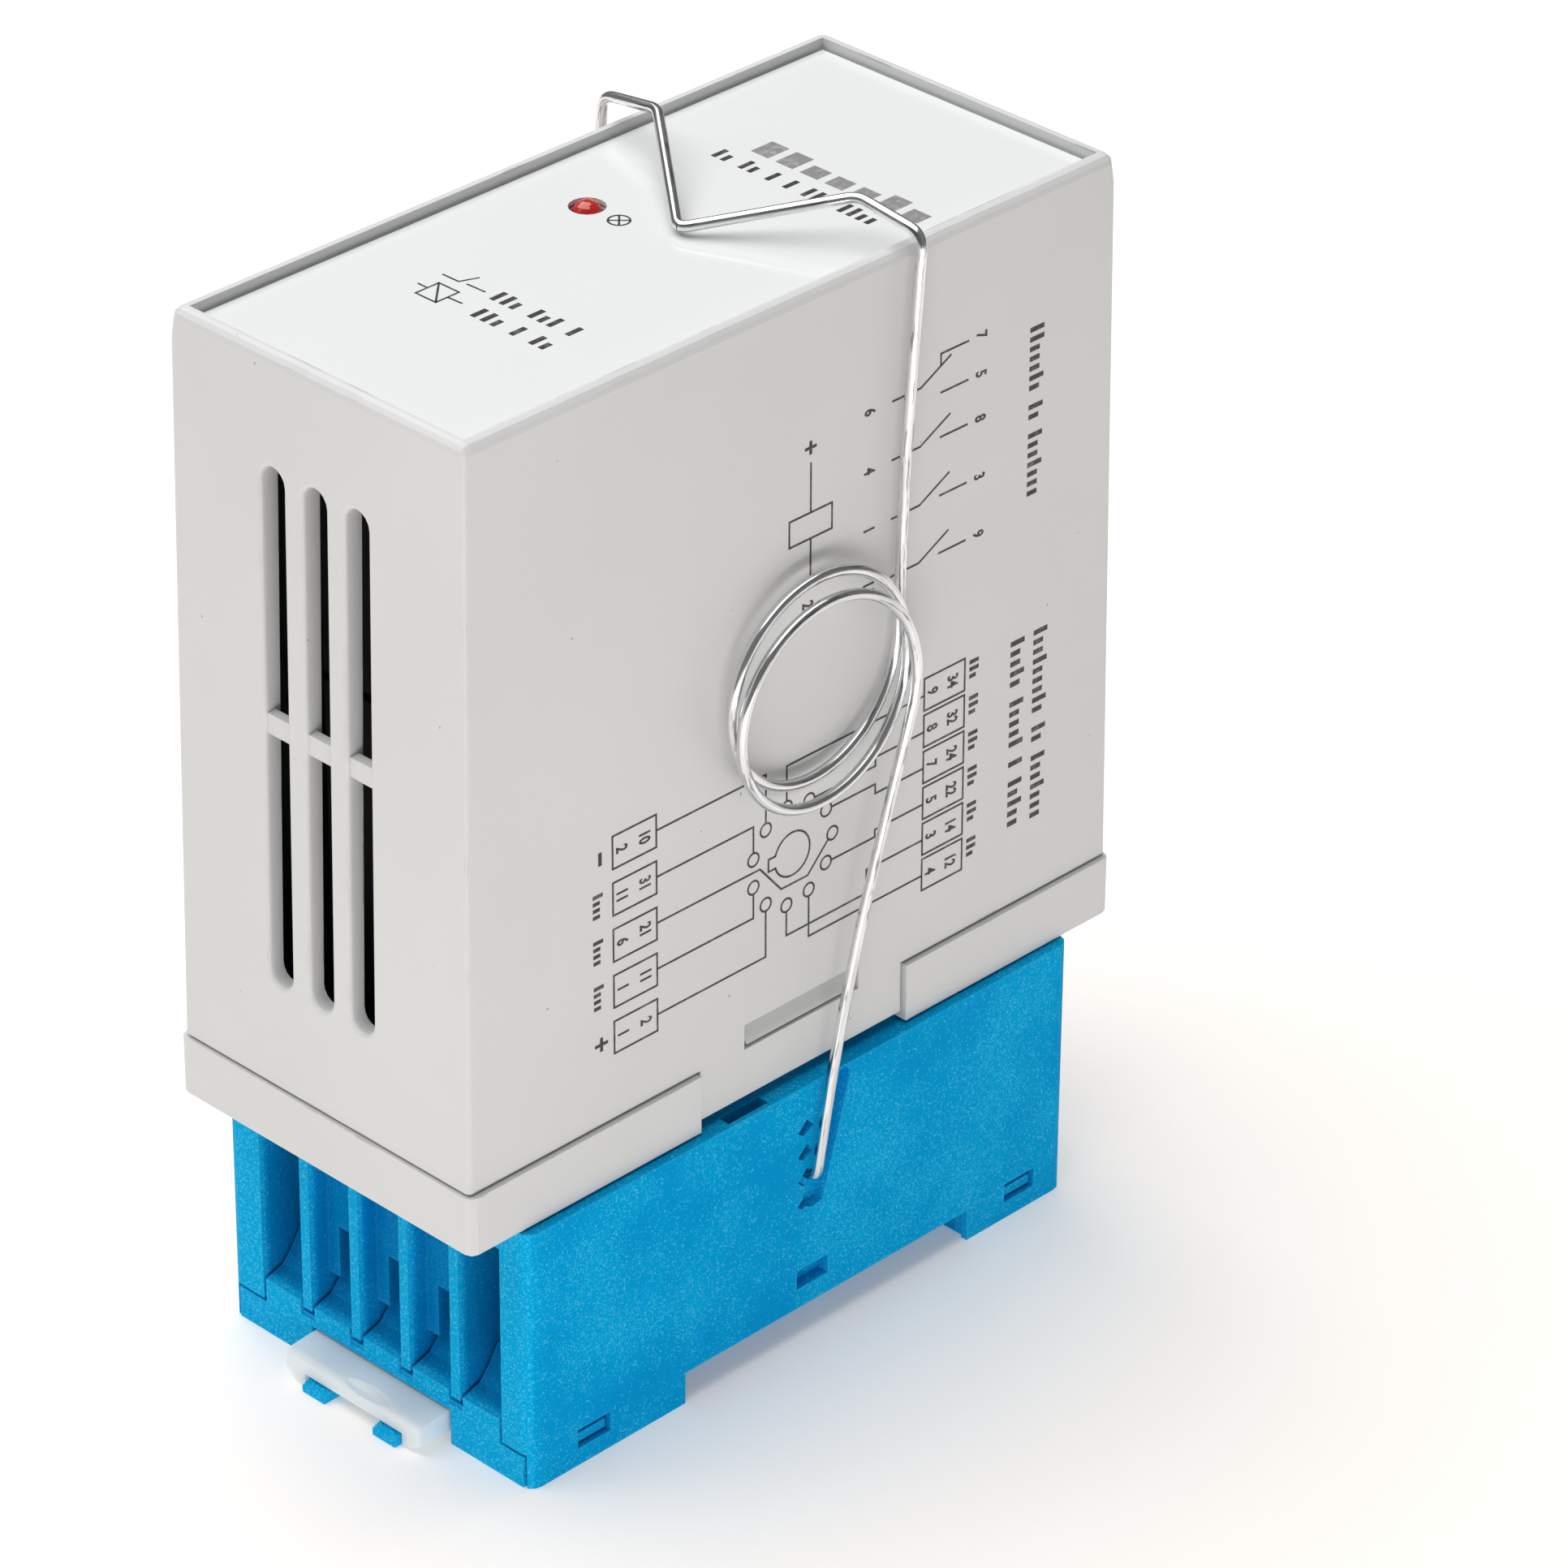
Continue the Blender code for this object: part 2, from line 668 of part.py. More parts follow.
def make_pins(material):
    tail, tail_z = PIN_TAIL
    collar, collar_low, collar_high = PIN_COLLAR
    profile = [
        (0.0, tail_z),
        (tail, tail_z),
        (tail, collar_high),
        (collar, collar_high),
        (collar, collar_low),
        (PIN_RADIUS, collar_low),
        (PIN_RADIUS, PIN_TIP_Z + 0.8),
        (0.6, PIN_TIP_Z),
        (0.0, PIN_TIP_Z),
    ]
    for i, place in enumerate(pin_places(), start=1):
        finish(turned(f"contact_pin_{i:02d}", profile, place, 12), material)


def make_boards(material):
    half_x, half_y = BOARD_HALF
    pin_board = box("pin_board", (-half_x, -half_y, BOARD_Z[0]), (half_x, half_y, BOARD_Z[1]))
    holes = [
        cylinder(f"board_hole_{i}", place, 0.8, (32.0, 36.0), sides=8)
        for i, place in enumerate(pin_places())
    ]
    carve(pin_board, *holes)
    low = (-half_x, UPRIGHT_BOARD_Y[0], BOARD_Z[1] + GAP)
    high = (half_x, UPRIGHT_BOARD_Y[1], UPRIGHT_BOARD_TOP_Z)
    upright = box("relay_board", low, high, round_axis=1, radius=1.0, segments=1)
    return finish(pin_board, material), finish(upright, material)


# ---------------------------------------------------------------- power relays


def relay_box(name, middle_z, u, v, w):
    y = sorted(UPRIGHT_BOARD_Y[0] - depth for depth in v)
    low = (RELAY_X + w[0], y[0], middle_z + u[0])
    high = (RELAY_X + w[1], y[1], middle_z + u[1])
    return box(name, low, high)


def relay_rod(name, middle_z, u, radius, v, sides=16):
    y = sorted(UPRIGHT_BOARD_Y[0] - depth for depth in v)
    return cylinder(name, (RELAY_X, middle_z + u), radius, y, "Y", sides)


def make_power_relay(level, middle_z, materials):
    """A hinged-armature relay: case, base, coil, yoke, armature and contact card."""
    name = f"{level}_relay"
    half_u, half_w = RELAY_LENGTH / 2, RELAY_WIDTH / 2

    outer = ((-half_u, half_u), (0.3, RELAY_HEIGHT), (-half_w, half_w))
    case = relay_box(f"{name}_case", middle_z, *outer)
    hollow_u, hollow_w = half_u - RELAY_WALL, half_w - RELAY_WALL
    hollow = relay_box(
        f"{name}_hollow",
        middle_z,
        (-hollow_u, hollow_u),
        (-0.7, RELAY_HEIGHT - RELAY_WALL),
        (-hollow_w, hollow_w),
    )
    finish(carve(case, hollow), materials["case"])

    plug_u, plug_w = hollow_u - GAP, hollow_w - GAP
    floor = RELAY_FLOOR_V
    base = relay_box(f"{name}_base", middle_z, (-plug_u, plug_u), floor, (-plug_w, plug_w))
    posts = []
    post_v = (floor[1] - 0.5, FIXED_CONTACT_V[1] - 0.1)
    post_u = (CONTACT_U[1] + 0.2, CONTACT_U[1] + 1.2)
    arm_u = (post_u[1] - 4.4, post_u[1] - 0.1)
    for w in CONTACT_W:
        post_w = (w - CONTACT_HALF_W - 0.1, w + CONTACT_HALF_W + 0.1)
        arm_w = (w - CONTACT_HALF_W, w + CONTACT_HALF_W)
        posts.append(relay_box(f"{name}_post", middle_z, post_u, post_v, post_w))
        posts.append(relay_box(f"{name}_arm", middle_z, arm_u, FIXED_CONTACT_V, arm_w))
    finish(join(base, *posts), materials["bobbin"])

    low_v, high_v = BOBBIN_V
    edge = BOBBIN_FLANGE
    coil = relay_rod(f"{name}_coil", middle_z, COIL_U, BOBBIN_RADIUS, (low_v, low_v + edge))
    winding_v = (low_v + 0.3, high_v - 0.5)
    flange_v = (high_v - edge, high_v)
    coil_parts = [
        relay_rod(f"{name}_winding", middle_z, COIL_U, WINDING_RADIUS, winding_v),
        relay_rod(f"{name}_flange", middle_z, COIL_U, BOBBIN_RADIUS, flange_v),
    ]
    join(coil, *coil_parts)
    bore_v = (low_v - OVER, high_v + OVER)
    bore = relay_rod(f"{name}_bore", middle_z, COIL_U, CORE_RADIUS + 0.4, bore_v, 12)
    finish(carve(coil, bore), materials["copper"])

    back_u, bend_u, front_u = YOKE_U
    low_v, bend_v, high_v = YOKE_V
    half = YOKE_HALF_W
    yoke = relay_box(f"{name}_yoke", middle_z, (back_u, front_u), (low_v, bend_v), (-half, half))
    arm_v, arm_w = (low_v - 0.01, high_v), (-half - 0.01, half + 0.01)
    yoke_parts = [
        relay_box(f"{name}_yoke_arm", middle_z, (back_u - 0.01, bend_u), arm_v, arm_w),
        relay_rod(f"{name}_core", middle_z, COIL_U, CORE_RADIUS, (bend_v - 0.5, high_v - 0.2), 12),
    ]
    finish(join(yoke, *yoke_parts), materials["steel"])

    armature = relay_box(f"{name}_armature", middle_z, ARMATURE_U, ARMATURE_V, (-half, half))
    finish(armature, materials["steel"])
    hinge = (RELAY_X, UPRIGHT_BOARD_Y[0] - HINGE_V, middle_z + HINGE_U)
    joint_empty(f"{level}_armature_axis", hinge, armature)

    card_w = (-CARD_HALF_W, CARD_HALF_W)
    card = relay_box(f"{name}_contact_card", middle_z, CARD_U, CARD_V, card_w)
    fingers = []
    for w in CONTACT_W:
        finger_w = (w - CONTACT_HALF_W, w + CONTACT_HALF_W)
        fingers.append(relay_box(f"{name}_finger", middle_z, CONTACT_U, MOVING_CONTACT_V, finger_w))
    finish(join(card, *fingers), materials["bobbin"])


# ---------------------------------------------------------------- socket


def make_housing(material):
    low = (SOCKET_X[0], -SOCKET_Y, 0.0)
    high = (SOCKET_X[1], SOCKET_Y, SOCKET_TOP_Z)
    housing = box("socket_housing", low, high, round_axis=2, radius=SOCKET_CORNER, segments=3)
    cutters = seat_cutters() + deck_cutters() + clip_wall_cutters()
    for key, end in ENDS.items():
        for i, y in enumerate(bays(end)):
            cutters += bay_cutters(f"{key}{i}", end, y, i in OPEN_BAYS[key])
    carve(housing, *cutters)
    return finish(housing, material)


def seat_cutters():
    """Room below for the base plate, the rail and the contacts, and the snap windows."""
    wide = (SOCKET_X[0] - OVER, SOCKET_X[1] + OVER)
    seat_y = PLATE_HALF_Y + 0.4
    belly_x = (SOCKET_X[0] + PARTITION_DEPTH, SOCKET_X[1] - PARTITION_DEPTH)
    cutters = [
        box("seat_low", (wide[0], -SKIRT_Y, -OVER), (wide[1], SKIRT_Y, PLATE_SEAT_Z[0])),
        box("seat_high", (wide[0], -seat_y, -OVER), (wide[1], seat_y, PLATE_SEAT_Z[1])),
        box("belly", (belly_x[0], -BELLY_SIDE_Y, -OVER), (belly_x[1], BELLY_SIDE_Y, DECK_Z)),
        box(
            "belly_middle",
            (-BELLY_HALF_X, -BELLY_HALF_Y, -OVER),
            (BELLY_HALF_X, BELLY_HALF_Y, DECK_Z),
        ),
        box("rail_recess", (RAIL_X[0], -25.0, -OVER), (RAIL_X[1], 25.0, RAIL_Z)),
    ]
    width, height = WINDOW_SIZE
    for i, (x, z) in enumerate(WINDOWS):
        for side in (-1, 1):
            y = sorted((side * (SOCKET_Y - WINDOW_DEPTH), side * (SOCKET_Y + OVER)))
            low = (x - width / 2, y[0], z - height / 2)
            high = (x + width / 2, y[1], z + height / 2)
            cutters.append(box(f"snap_window_{i}_{side}", low, high))
    return cutters


def deck_cutters():
    """Holes in the deck for the pins and the keyed spigot, and a pry slot at each side."""
    span = (DECK_Z - OVER, SOCKET_TOP_Z + OVER)
    key_half = KEY_SIZE[0] / 2 + GAP
    key_reach = SPIGOT_RADIUS + KEY_SIZE[1] + 0.5
    pry_x, pry_y, pry_floor = PRY_SLOT
    cutters = [
        cylinder("deck_spigot_hole", (0, 0), SPIGOT_RADIUS + 0.4, span, sides=20),
        box("deck_key", (-key_half, -key_reach, span[0]), (key_half, -SPIGOT_RADIUS + 2.2, span[1])),
    ]
    for i, place in enumerate(pin_places()):
        cutters.append(cylinder(f"deck_pin_{i}", place, PIN_RADIUS + 0.35, span, sides=12))
    for side in (-1, 1):
        y = sorted(side * edge for edge in pry_y)
        low, high = (pry_x[0], y[0], pry_floor), (pry_x[1], y[1], span[1])
        cutters.append(box(f"pry_slot_{side}", low, high))
    return cutters


def bay_cutters(tag, end, y, open_back):
    """One terminal: its open wire bay, the wire door behind it, its chamber and screw well."""
    half = end["bay"] / 2
    low, high = MOUTH_Z
    mouth = inside(end, -OVER, INNER_WALL_DEPTH + 0.2 if open_back else MOUTH_DEPTH)
    door = inside(end, MOUTH_DEPTH - 0.2, INNER_WALL_DEPTH + 0.2)
    door_y = (y - half + 0.25, y + half - DOOR_JAMB)
    sill_y = (y - half + 0.01, y + half - 0.01)
    sill_z = WIRE_RAMP[3][1] + 0.8
    chamber = inside(end, INNER_WALL_DEPTH, PARTITION_DEPTH + 0.4)
    screw_x = end["face"] + end["inward"] * SCREW_DEPTH
    well = (DECK_Z - OVER, SOCKET_TOP_Z + OVER)
    inner = half - 0.001
    cutters = [
        box(f"bay_mouth_{tag}", (mouth[0], y - half, low), (mouth[1], y + half, high)),
        box(f"bay_chamber_{tag}", (chamber[0], y - inner, 0.4), (chamber[1], y + inner, DECK_Z)),
        cylinder(f"bay_well_{tag}", (screw_x, y), half - 0.2, well, sides=16),
    ]
    if not open_back:
        door_low, door_high = (door[0], door_y[0], low + 0.1), (door[1], door_y[1], DOOR_TOP_Z)
        sill_low, sill_high = (door[0], sill_y[0], low - 0.05), (door[1], sill_y[1], sill_z)
        cutters.append(box(f"bay_door_{tag}", door_low, door_high))
        cutters.append(box(f"bay_sill_{tag}", sill_low, sill_high))
    return cutters


def clip_wall_cutters():
    """The slanting channel and its rack of notches for the wire clip, on both wide faces."""
    channel = [(5.13, 25.4), (1.77, 13.4), (0.4, 13.2), (-0.9, 13.9), (2.0, 25.6), (4.4, 26.0)]
    cutters = []
    for side in (-1, 1):
        floor = sorted((side * (SOCKET_Y - 1.1), side * (SOCKET_Y + OVER)))
        cutters.append(plate(f"channel_{side}", channel, floor, "Y"))
        through = sorted((side * (BELLY_HALF_Y - 0.4), side * (SOCKET_Y + OVER)))
        for i, top in enumerate(NOTCH_TOP_Z):
            notch = [(-0.25, top), (-1.36, top - 1.1)]
            if i == OPEN_NOTCH:
                notch += [(-0.6, top - 1.75), (1.1, top - 1.4), (1.1, top)]
            else:
                notch += [(-0.7, top - 1.55), (0.6, top - 0.9)]
            cutters.append(plate(f"notch_{i}_{side}", notch, through, "Y"))
    return cutters


def ramp_outline(end):
    """A wire guide's side view: level at the face, then climbing to the wire door."""
    return [(end["face"] + end["inward"] * depth, z) for depth, z in WIRE_RAMP]


def make_base_plate(material):
    end_x = SOCKET_X
    inner = PLATE_HALF_Y + 0.1
    plate_low, plate_high = (end_x[0] + 0.2, -inner, RAIL_Z), (end_x[1] - 0.2, inner, PLATE_TOP_Z)
    base = box("socket_base_plate", plate_low, plate_high)
    middle_x, middle_y = BELLY_HALF_X - GAP, BELLY_HALF_Y - GAP
    reach, half, hook_low, hook_high = RAIL_HOOK
    web = (PLATE_HALF_Y, PLATE_TOP_Z - 0.3)
    foot = [(FOOT_Y, 0.0), (FOOT_Y, FOOT_TOP_Z), (PLATE_HALF_Y, FOOT_TOP_Z), web]
    foot += [(-y, z) for y, z in reversed(foot)]
    parts = [
        box(
            "plate_middle",
            (-middle_x, -middle_y, RAIL_Z),
            (middle_x, middle_y, PLATE_TOP_Z - 0.01),
        ),
        plate("plate_foot_a", foot, (end_x[0], RAIL_X[0] - GAP), "X"),
        plate("plate_foot_b", foot, (RAIL_X[1] + GAP, end_x[1]), "X"),
        box("plate_hook", (RAIL_X[1] - reach, -half, hook_low), (RAIL_X[1] + OVER, half, hook_high)),
    ]
    for end in ENDS.values():
        for y in bays(end):
            half = end["bay"] / 2 - 0.35
            parts.append(plate("plate_ramp", ramp_outline(end), (y - half, y + half), "Y"))
    for x, z in (WINDOWS[0], WINDOWS[2]):
        low, high = (x - 1.6, -CATCH_Y, z - 0.6), (x + 1.6, CATCH_Y, z + 0.3)
        parts.append(box("plate_catch", low, high))
    join(base, *parts)
    channel = box(
        "plate_clip_room",
        (end_x[0] - OVER, CLIP_Y - CLIP_HALF_Y - 0.35, -OVER),
        (-21.0, CLIP_Y + CLIP_HALF_Y + 0.35, CLIP_Z[2] + GAP),
    )
    tongue_room = box(
        "plate_tongue_room",
        (-21.5, CLIP_Y - TONGUE_HALF_Y - GAP, 1.1),
        (RAIL_X[0] + OVER, CLIP_Y + TONGUE_HALF_Y + GAP, CLIP_Z[2] + GAP),
    )
    carve(base, channel, tongue_room)
    outer = GUIDE_Y[1]
    guides = [
        box("plate_guide_floor", (end_x[0], CLIP_Y - outer, 0.0), (-20.0, CLIP_Y + outer, 1.1))
    ]
    root_x = end_x[0] + 0.5
    tab = [(GUIDE_X, 0.0), (GUIDE_X, 0.7), (GUIDE_X + 1.1, 1.1), (root_x, 1.1), (root_x, 0.0)]
    for side in (-1, 1):
        span = sorted(CLIP_Y + side * y for y in GUIDE_Y)
        guides.append(plate("plate_guide_tab", tab, span, "Y"))
    join(base, *guides)
    return finish(base, material)


def make_rail_clip(material):
    """A bar with two feet and a sloping, dimpled top, and a tongue that reaches the rail."""
    low, step, high = CLIP_Z
    half, foot = CLIP_HALF_Y, CLIP_FOOT_Y
    cut_y, cut_z = CLIP_CHAMFER
    right_side = [(foot, step), (foot, low), (half - cut_y, low), (half, low + cut_z)]
    right_side.append((half, high + OVER))
    outline = [(CLIP_Y + y, z) for y, z in right_side]
    outline += [(CLIP_Y - y, z) for y, z in reversed(right_side)]
    clip = plate("din_clip", outline, (CLIP_X[0] - OVER, CLIP_X[1]), "X")
    back_x = CLIP_X[1] + OVER
    side_view = list(CLIP_FRONT) + [(back_x, high), (back_x, -OVER), (CLIP_X[0], -OVER)]
    combine(clip, "INTERSECT", [plate("clip_side_view", side_view, (-2 * half, 2 * half), "Y")])
    root_x, tip_x = CLIP_X[1] - OVER, TONGUE_TIP_X
    nose = [
        (root_x, step + 0.01),
        (tip_x - 1.0, step + 0.01),
        (tip_x, 1.7),
        (tip_x, 2.0),
        (tip_x - 1.8, 2.0),
        (tip_x - 1.8, high - 0.3),
        (root_x, high - 0.3),
    ]
    span = (CLIP_Y - TONGUE_HALF_Y, CLIP_Y + TONGUE_HALF_Y)
    join(clip, plate("clip_tongue", nose, span, "Y"))
    carve(clip, ellipsoid("clip_dimple", CLIP_DIMPLE, CLIP_DIMPLE_REACH))
    return finish(clip, material)


def make_terminals(strip_material, screw_material):
    top, tip = SCREW_TOP_Z, SCREW_TIP_Z
    head_z = STRIP_Z[1] + GAP
    slot_half, slot_depth = SCREW_SLOT[0] / 2, SCREW_SLOT[1]
    profile = [
        (0.0, top),
        (SCREW_HEAD_RADIUS - 0.2, top),
        (SCREW_HEAD_RADIUS, top - 0.3),
        (SCREW_HEAD_RADIUS, head_z),
        (SCREW_RADIUS, head_z),
        (SCREW_RADIUS, tip + 0.6),
        (SCREW_RADIUS - 0.55, tip),
        (0.0, tip),
    ]
    for name, end, y, pin in terminals():
        screw_x = end["face"] + end["inward"] * SCREW_DEPTH
        make_strip(f"terminal_strip_{name}", end, y, pin, screw_x, strip_material)
        screw = turned(f"terminal_screw_{name}", profile, (screw_x, y), 12)
        low = (screw_x - 3, y - slot_half, top - slot_depth)
        slot = box(f"screw_slot_{name}", low, (screw_x + 3, y + slot_half, top + OVER))
        finish(carve(screw, slot), screw_material)


def make_strip(name, end, y, pin, screw_x, material):
    """A clamp plate under the screw, a flat lead, and the tube that grips the pin."""
    tube = cylinder(name, pin, RECEPTACLE_RADIUS, (9.0, STRIP_Z[1]), sides=12)
    x = inside(end, *STRIP_DEPTH)
    half = end["bay"] / 2 - 0.35
    clamp = box(f"{name}_clamp", (x[0], y - half, STRIP_Z[0]), (x[1], y + half, STRIP_Z[1] - 0.01))
    stretch = ELBOW_RADIUS / PIN_CIRCLE_RADIUS
    elbow = (pin[0] * stretch, pin[1] * stretch)
    start = (end["face"] + end["inward"] * (PARTITION_DEPTH - 1.2), y)
    path = [start, elbow, pin]
    lead_z = (STRIP_Z[0] + 0.01, STRIP_Z[1] - 0.02)
    lead = plate(f"{name}_lead", band(path, LEAD_WIDTH), lead_z)
    join(tube, clamp, lead)
    bore = cylinder(f"{name}_bore", pin, RECEPTACLE_BORE, (8.0, 20.0), sides=12)
    hole = cylinder(f"{name}_hole", (screw_x, y), SCREW_RADIUS + GAP, (17.0, 20.0), sides=12)
    carve(tube, bore, hole)
    finish(tube, material)


# ---------------------------------------------------------------- wire clip


def coil_points(side, turns=COIL_TURNS, steps_per_turn=18):
    """The coil from its start at the upper leg, down its +X side, round and outward."""
    steps = math.ceil(turns * steps_per_turn)
    points = []
    for step in range(steps + 1):
        turn = turns * step / steps
        angle = -turn * math.tau
        x = COIL_CENTRE[0] + COIL_RADIUS * math.cos(angle)
        z = COIL_CENTRE[1] - COIL_DROP * turn + COIL_RADIUS * math.sin(angle)
        points.append((x, side * (LEG_Y + COIL_PITCH * turn), z))
    return points


def moved_along(start, towards, distance):
    start, towards = Vector(start), Vector(towards)
    return tuple(start + (towards - start).normalized() * distance)


def make_wire_clip(material):
    pieces = {"legs": [], "coils": []}
    for side, place in ((-1, "front"), (1, "rear")):
        coil = coil_points(side)
        bend = (HOOK[0], side * HOOK_Y[1], HOOK[1])
        tip = (HOOK[0], side * HOOK_Y[0], HOOK[1])
        bow = (LEG_BOW[0], side * LEG_BOW[1], LEG_BOW[2])
        leg_path = rounded_path([moved_along(coil[-1], bow, GAP), bow, bend, tip], [LEG_BOW_RADIUS, 1.1])
        leg = wire(f"clip_leg_{place}", leg_path)
        pieces["legs"].append(finish(leg, material))
        lead_in = (COIL_CENTRE[0] + COIL_RADIUS + 0.09, side * LEG_Y, COIL_TOP_Z)
        pieces["coils"].append(finish(wire(f"clip_coil_{place}", [lead_in] + coil), material))
    half = [
        (COIL_CENTRE[0] + COIL_RADIUS + 0.1, LEG_Y, COIL_TOP_Z + GAP),
        (11.1, LEG_Y, 83.5),
        (12.55, LEG_Y + 0.1, 103.4),
        (12.15, 11.8, 104.55),
    ]
    corners = [(x, -y, z) for x, y, z in half] + [BAIL_TIP] + half[::-1]
    bail = wire("clip_bail", rounded_path(corners, [30.0, 1.8, 2.4, 1.2, 2.4, 1.8, 30.0]))
    finish(bail, material)
    axis = (HOOK[0], 0.0, HOOK[1])
    joint_empty("clip_swing_axis", axis, bail, *pieces["legs"], *pieces["coils"])


# ---------------------------------------------------------------- assembly


def main():
    grey = principled("cover_grey", (0.66, 0.67, 0.67), 0.42)
    white = principled("label_white", (0.82, 0.83, 0.83), 0.22)
    red = principled("led_red", (0.62, 0.02, 0.01), 0.18, transmission=0.2)
    blue = principled("socket_blue", (0.0, 0.33, 0.68), 0.45)
    nylon = principled("nylon_white", (0.80, 0.86, 0.88), 0.4, transmission=0.15)
    board = principled("board_green", (0.02, 0.14, 0.06), 0.5)
    wire_steel = principled("wire_steel", (0.78, 0.79, 0.80), 0.22, metallic=1.0)
    screw_steel = principled("screw_steel", (0.70, 0.70, 0.69), 0.32, metallic=1.0)
    tinned = principled("tinned_brass", (0.72, 0.66, 0.50), 0.3, metallic=1.0)
    relay = {
        "case": principled("relay_case_dark", (0.02, 0.02, 0.022), 0.4),
        "bobbin": principled("relay_moulding", (0.10, 0.10, 0.11), 0.5),
        "copper": principled("coil_copper", (0.48, 0.16, 0.06), 0.35, metallic=0.8),
        "steel": principled("relay_steel", (0.55, 0.55, 0.56), 0.35, metallic=1.0),
    }
    make_cover(grey)
    make_base(grey)
    make_label(white)
    make_led(red)
    make_pins(tinned)
    make_boards(board)
    for level, middle_z in RELAY_CENTRES_Z.items():
        make_power_relay(level, middle_z, relay)
    make_housing(blue)
    make_base_plate(blue)
    make_rail_clip(nylon)
    make_terminals(tinned, screw_steel)
    make_wire_clip(wire_steel)


clear_scene()
PARTS = new_collection("plug_in_relay", bpy.context.scene.collection)
CUTTERS = new_collection("cutters", bpy.context.scene.collection, helper=True)
main()
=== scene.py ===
"""Looks of the plug-in relay: camera, soft light, finishes, spring wire and printed marks.

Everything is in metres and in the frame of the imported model. MM turns a millimetre into metres.
"""

import json
import math

import bmesh
import bpy
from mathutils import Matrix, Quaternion, Vector


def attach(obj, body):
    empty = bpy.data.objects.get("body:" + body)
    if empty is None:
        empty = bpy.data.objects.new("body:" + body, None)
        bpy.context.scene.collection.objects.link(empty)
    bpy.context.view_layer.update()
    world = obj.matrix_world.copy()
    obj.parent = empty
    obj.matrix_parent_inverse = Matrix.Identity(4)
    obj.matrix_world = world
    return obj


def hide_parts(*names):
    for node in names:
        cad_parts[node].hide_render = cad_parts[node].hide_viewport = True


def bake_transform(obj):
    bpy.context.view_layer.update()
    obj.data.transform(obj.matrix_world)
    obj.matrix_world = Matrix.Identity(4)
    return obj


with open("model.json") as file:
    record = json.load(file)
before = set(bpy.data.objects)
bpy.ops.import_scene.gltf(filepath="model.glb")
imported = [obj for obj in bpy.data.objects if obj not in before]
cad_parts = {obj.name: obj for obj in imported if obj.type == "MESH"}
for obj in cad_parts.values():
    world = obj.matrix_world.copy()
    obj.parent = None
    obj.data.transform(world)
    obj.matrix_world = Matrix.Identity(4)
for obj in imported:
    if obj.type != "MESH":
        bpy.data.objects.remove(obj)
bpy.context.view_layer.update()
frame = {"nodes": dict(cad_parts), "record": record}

MM = 0.001
NODES = frame["nodes"]

# Camera, above the wide face and to the left of it. Its place and aim are in metres, its lens and
# sensor in millimetres.
CAMERA_PLACE = Vector((-0.37517, -0.38259, 0.36682))
CAMERA_AIM = Vector((0.00733, -0.00852, 0.0488))
CAMERA_ROLL = math.radians(0.464)
CAMERA_LENS = 165.594
CAMERA_SENSOR = 36.0

# Studio: each light's place, aim, size and power, and the floor.
TOP_LIGHT = ((-0.07, 0.24, 0.90), (0.0, 0.0, 0.05), (1.2, 1.2), 11.2)
LOW_LIGHT = ((-0.17, -0.24, 0.02), (0.0, 0.0, 0.03), (0.28, 0.04), 0.22)
BACKDROP_STRENGTH = 0.17
FLOOR_HALF = 4.0
FLOOR_GLOW = 0.20

# Widths of the rounded edges that the moulded pieces are given, in millimetres.
EDGE_WIDTHS = {
    "relay_cover": 0.25,
    "relay_base": 0.3,
    "socket_housing": 0.22,
    "socket_base_plate": 0.15,
    "label_plate": 0.1,
    "din_clip": 0.3,
}

# Spring wire, with the same route as its CAD pieces, in millimetres.
WIRE_RADIUS = 0.5
WIRE_SIDES = 16
HOOK = (0.15, 16.75)
HOOK_Y = (17.4, 19.85)
COIL_CENTRE = (0.30, 67.62)
COIL_RADIUS = 10.2
COIL_PITCH = 1.15
COIL_DROP = 1.83
COIL_TURNS = 2.0 + 15.8 / 360.0
LEG_Y = 18.75
LEG_BOW = (3.1, 20.4, 36.0)
LEG_BOW_RADIUS = 210.0
HOOK_BEND_RADIUS = 1.1
STEPS_PER_TURN = 72
BEND_STEPS = 8
LONGEST_STEP = 1.2
BAIL_HALF = ((11.1, LEG_Y, 83.5), (12.55, LEG_Y + 0.1, 103.4), (12.15, 11.8, 104.55))
BAIL_TIP = (1.7, -1.2, 101.55)
LEG_STRETCH_Z = (20.0, 53.0)
BAIL_STRETCH_Z = (78.0, 100.5)
BAIL_RADII = (30.0, 1.8, 2.4, 1.2, 2.4, 1.8, 30.0)

# How far a speck reaches past its radius and where its core ends, and how squarely a bevelled edge
# faces outward where it starts and ends.
SPECK_OUTER, SPECK_CORE = 1.15, 0.75
FLAT_FACING, ROUND_FACING = 0.995, 0.80

# Places on the blue socket, in metres from its middle: its end faces, which show more fibres, and the
# space of its wire bays along and across it, where painted shade darkens the blue.
END_SKIN = (0.0330, 0.0331)
SHADED_BAY_ALONG = (0.0331, 0.0325)
SHADED_BAY_ACROSS = (0.0176, 0.0171)

# Printed marks, in millimetres: the wide face leans in from one (height, half depth) to the other.
WIDE_FACE = ((32.4, 17.75), (101.76, 17.36))
LABEL_TOP_Z = 100.8
INK_HEIGHT = 0.02
INK_ROOT = 0.04
LINE_WIDTH = 0.19
DIGIT_HEIGHT = 1.3
DIGIT_SQUEEZE = 0.72
DIGIT_BOLD = 0.05
CAPITAL_SHARE = 0.73
PIN_RING_CENTRE = (-0.95, 49.25)
PIN_RING_RADIUS = 4.87
PIN_MARK_RADIUS = 0.64
KEY_MARK_RADIUS = 2.12
PINS = 11

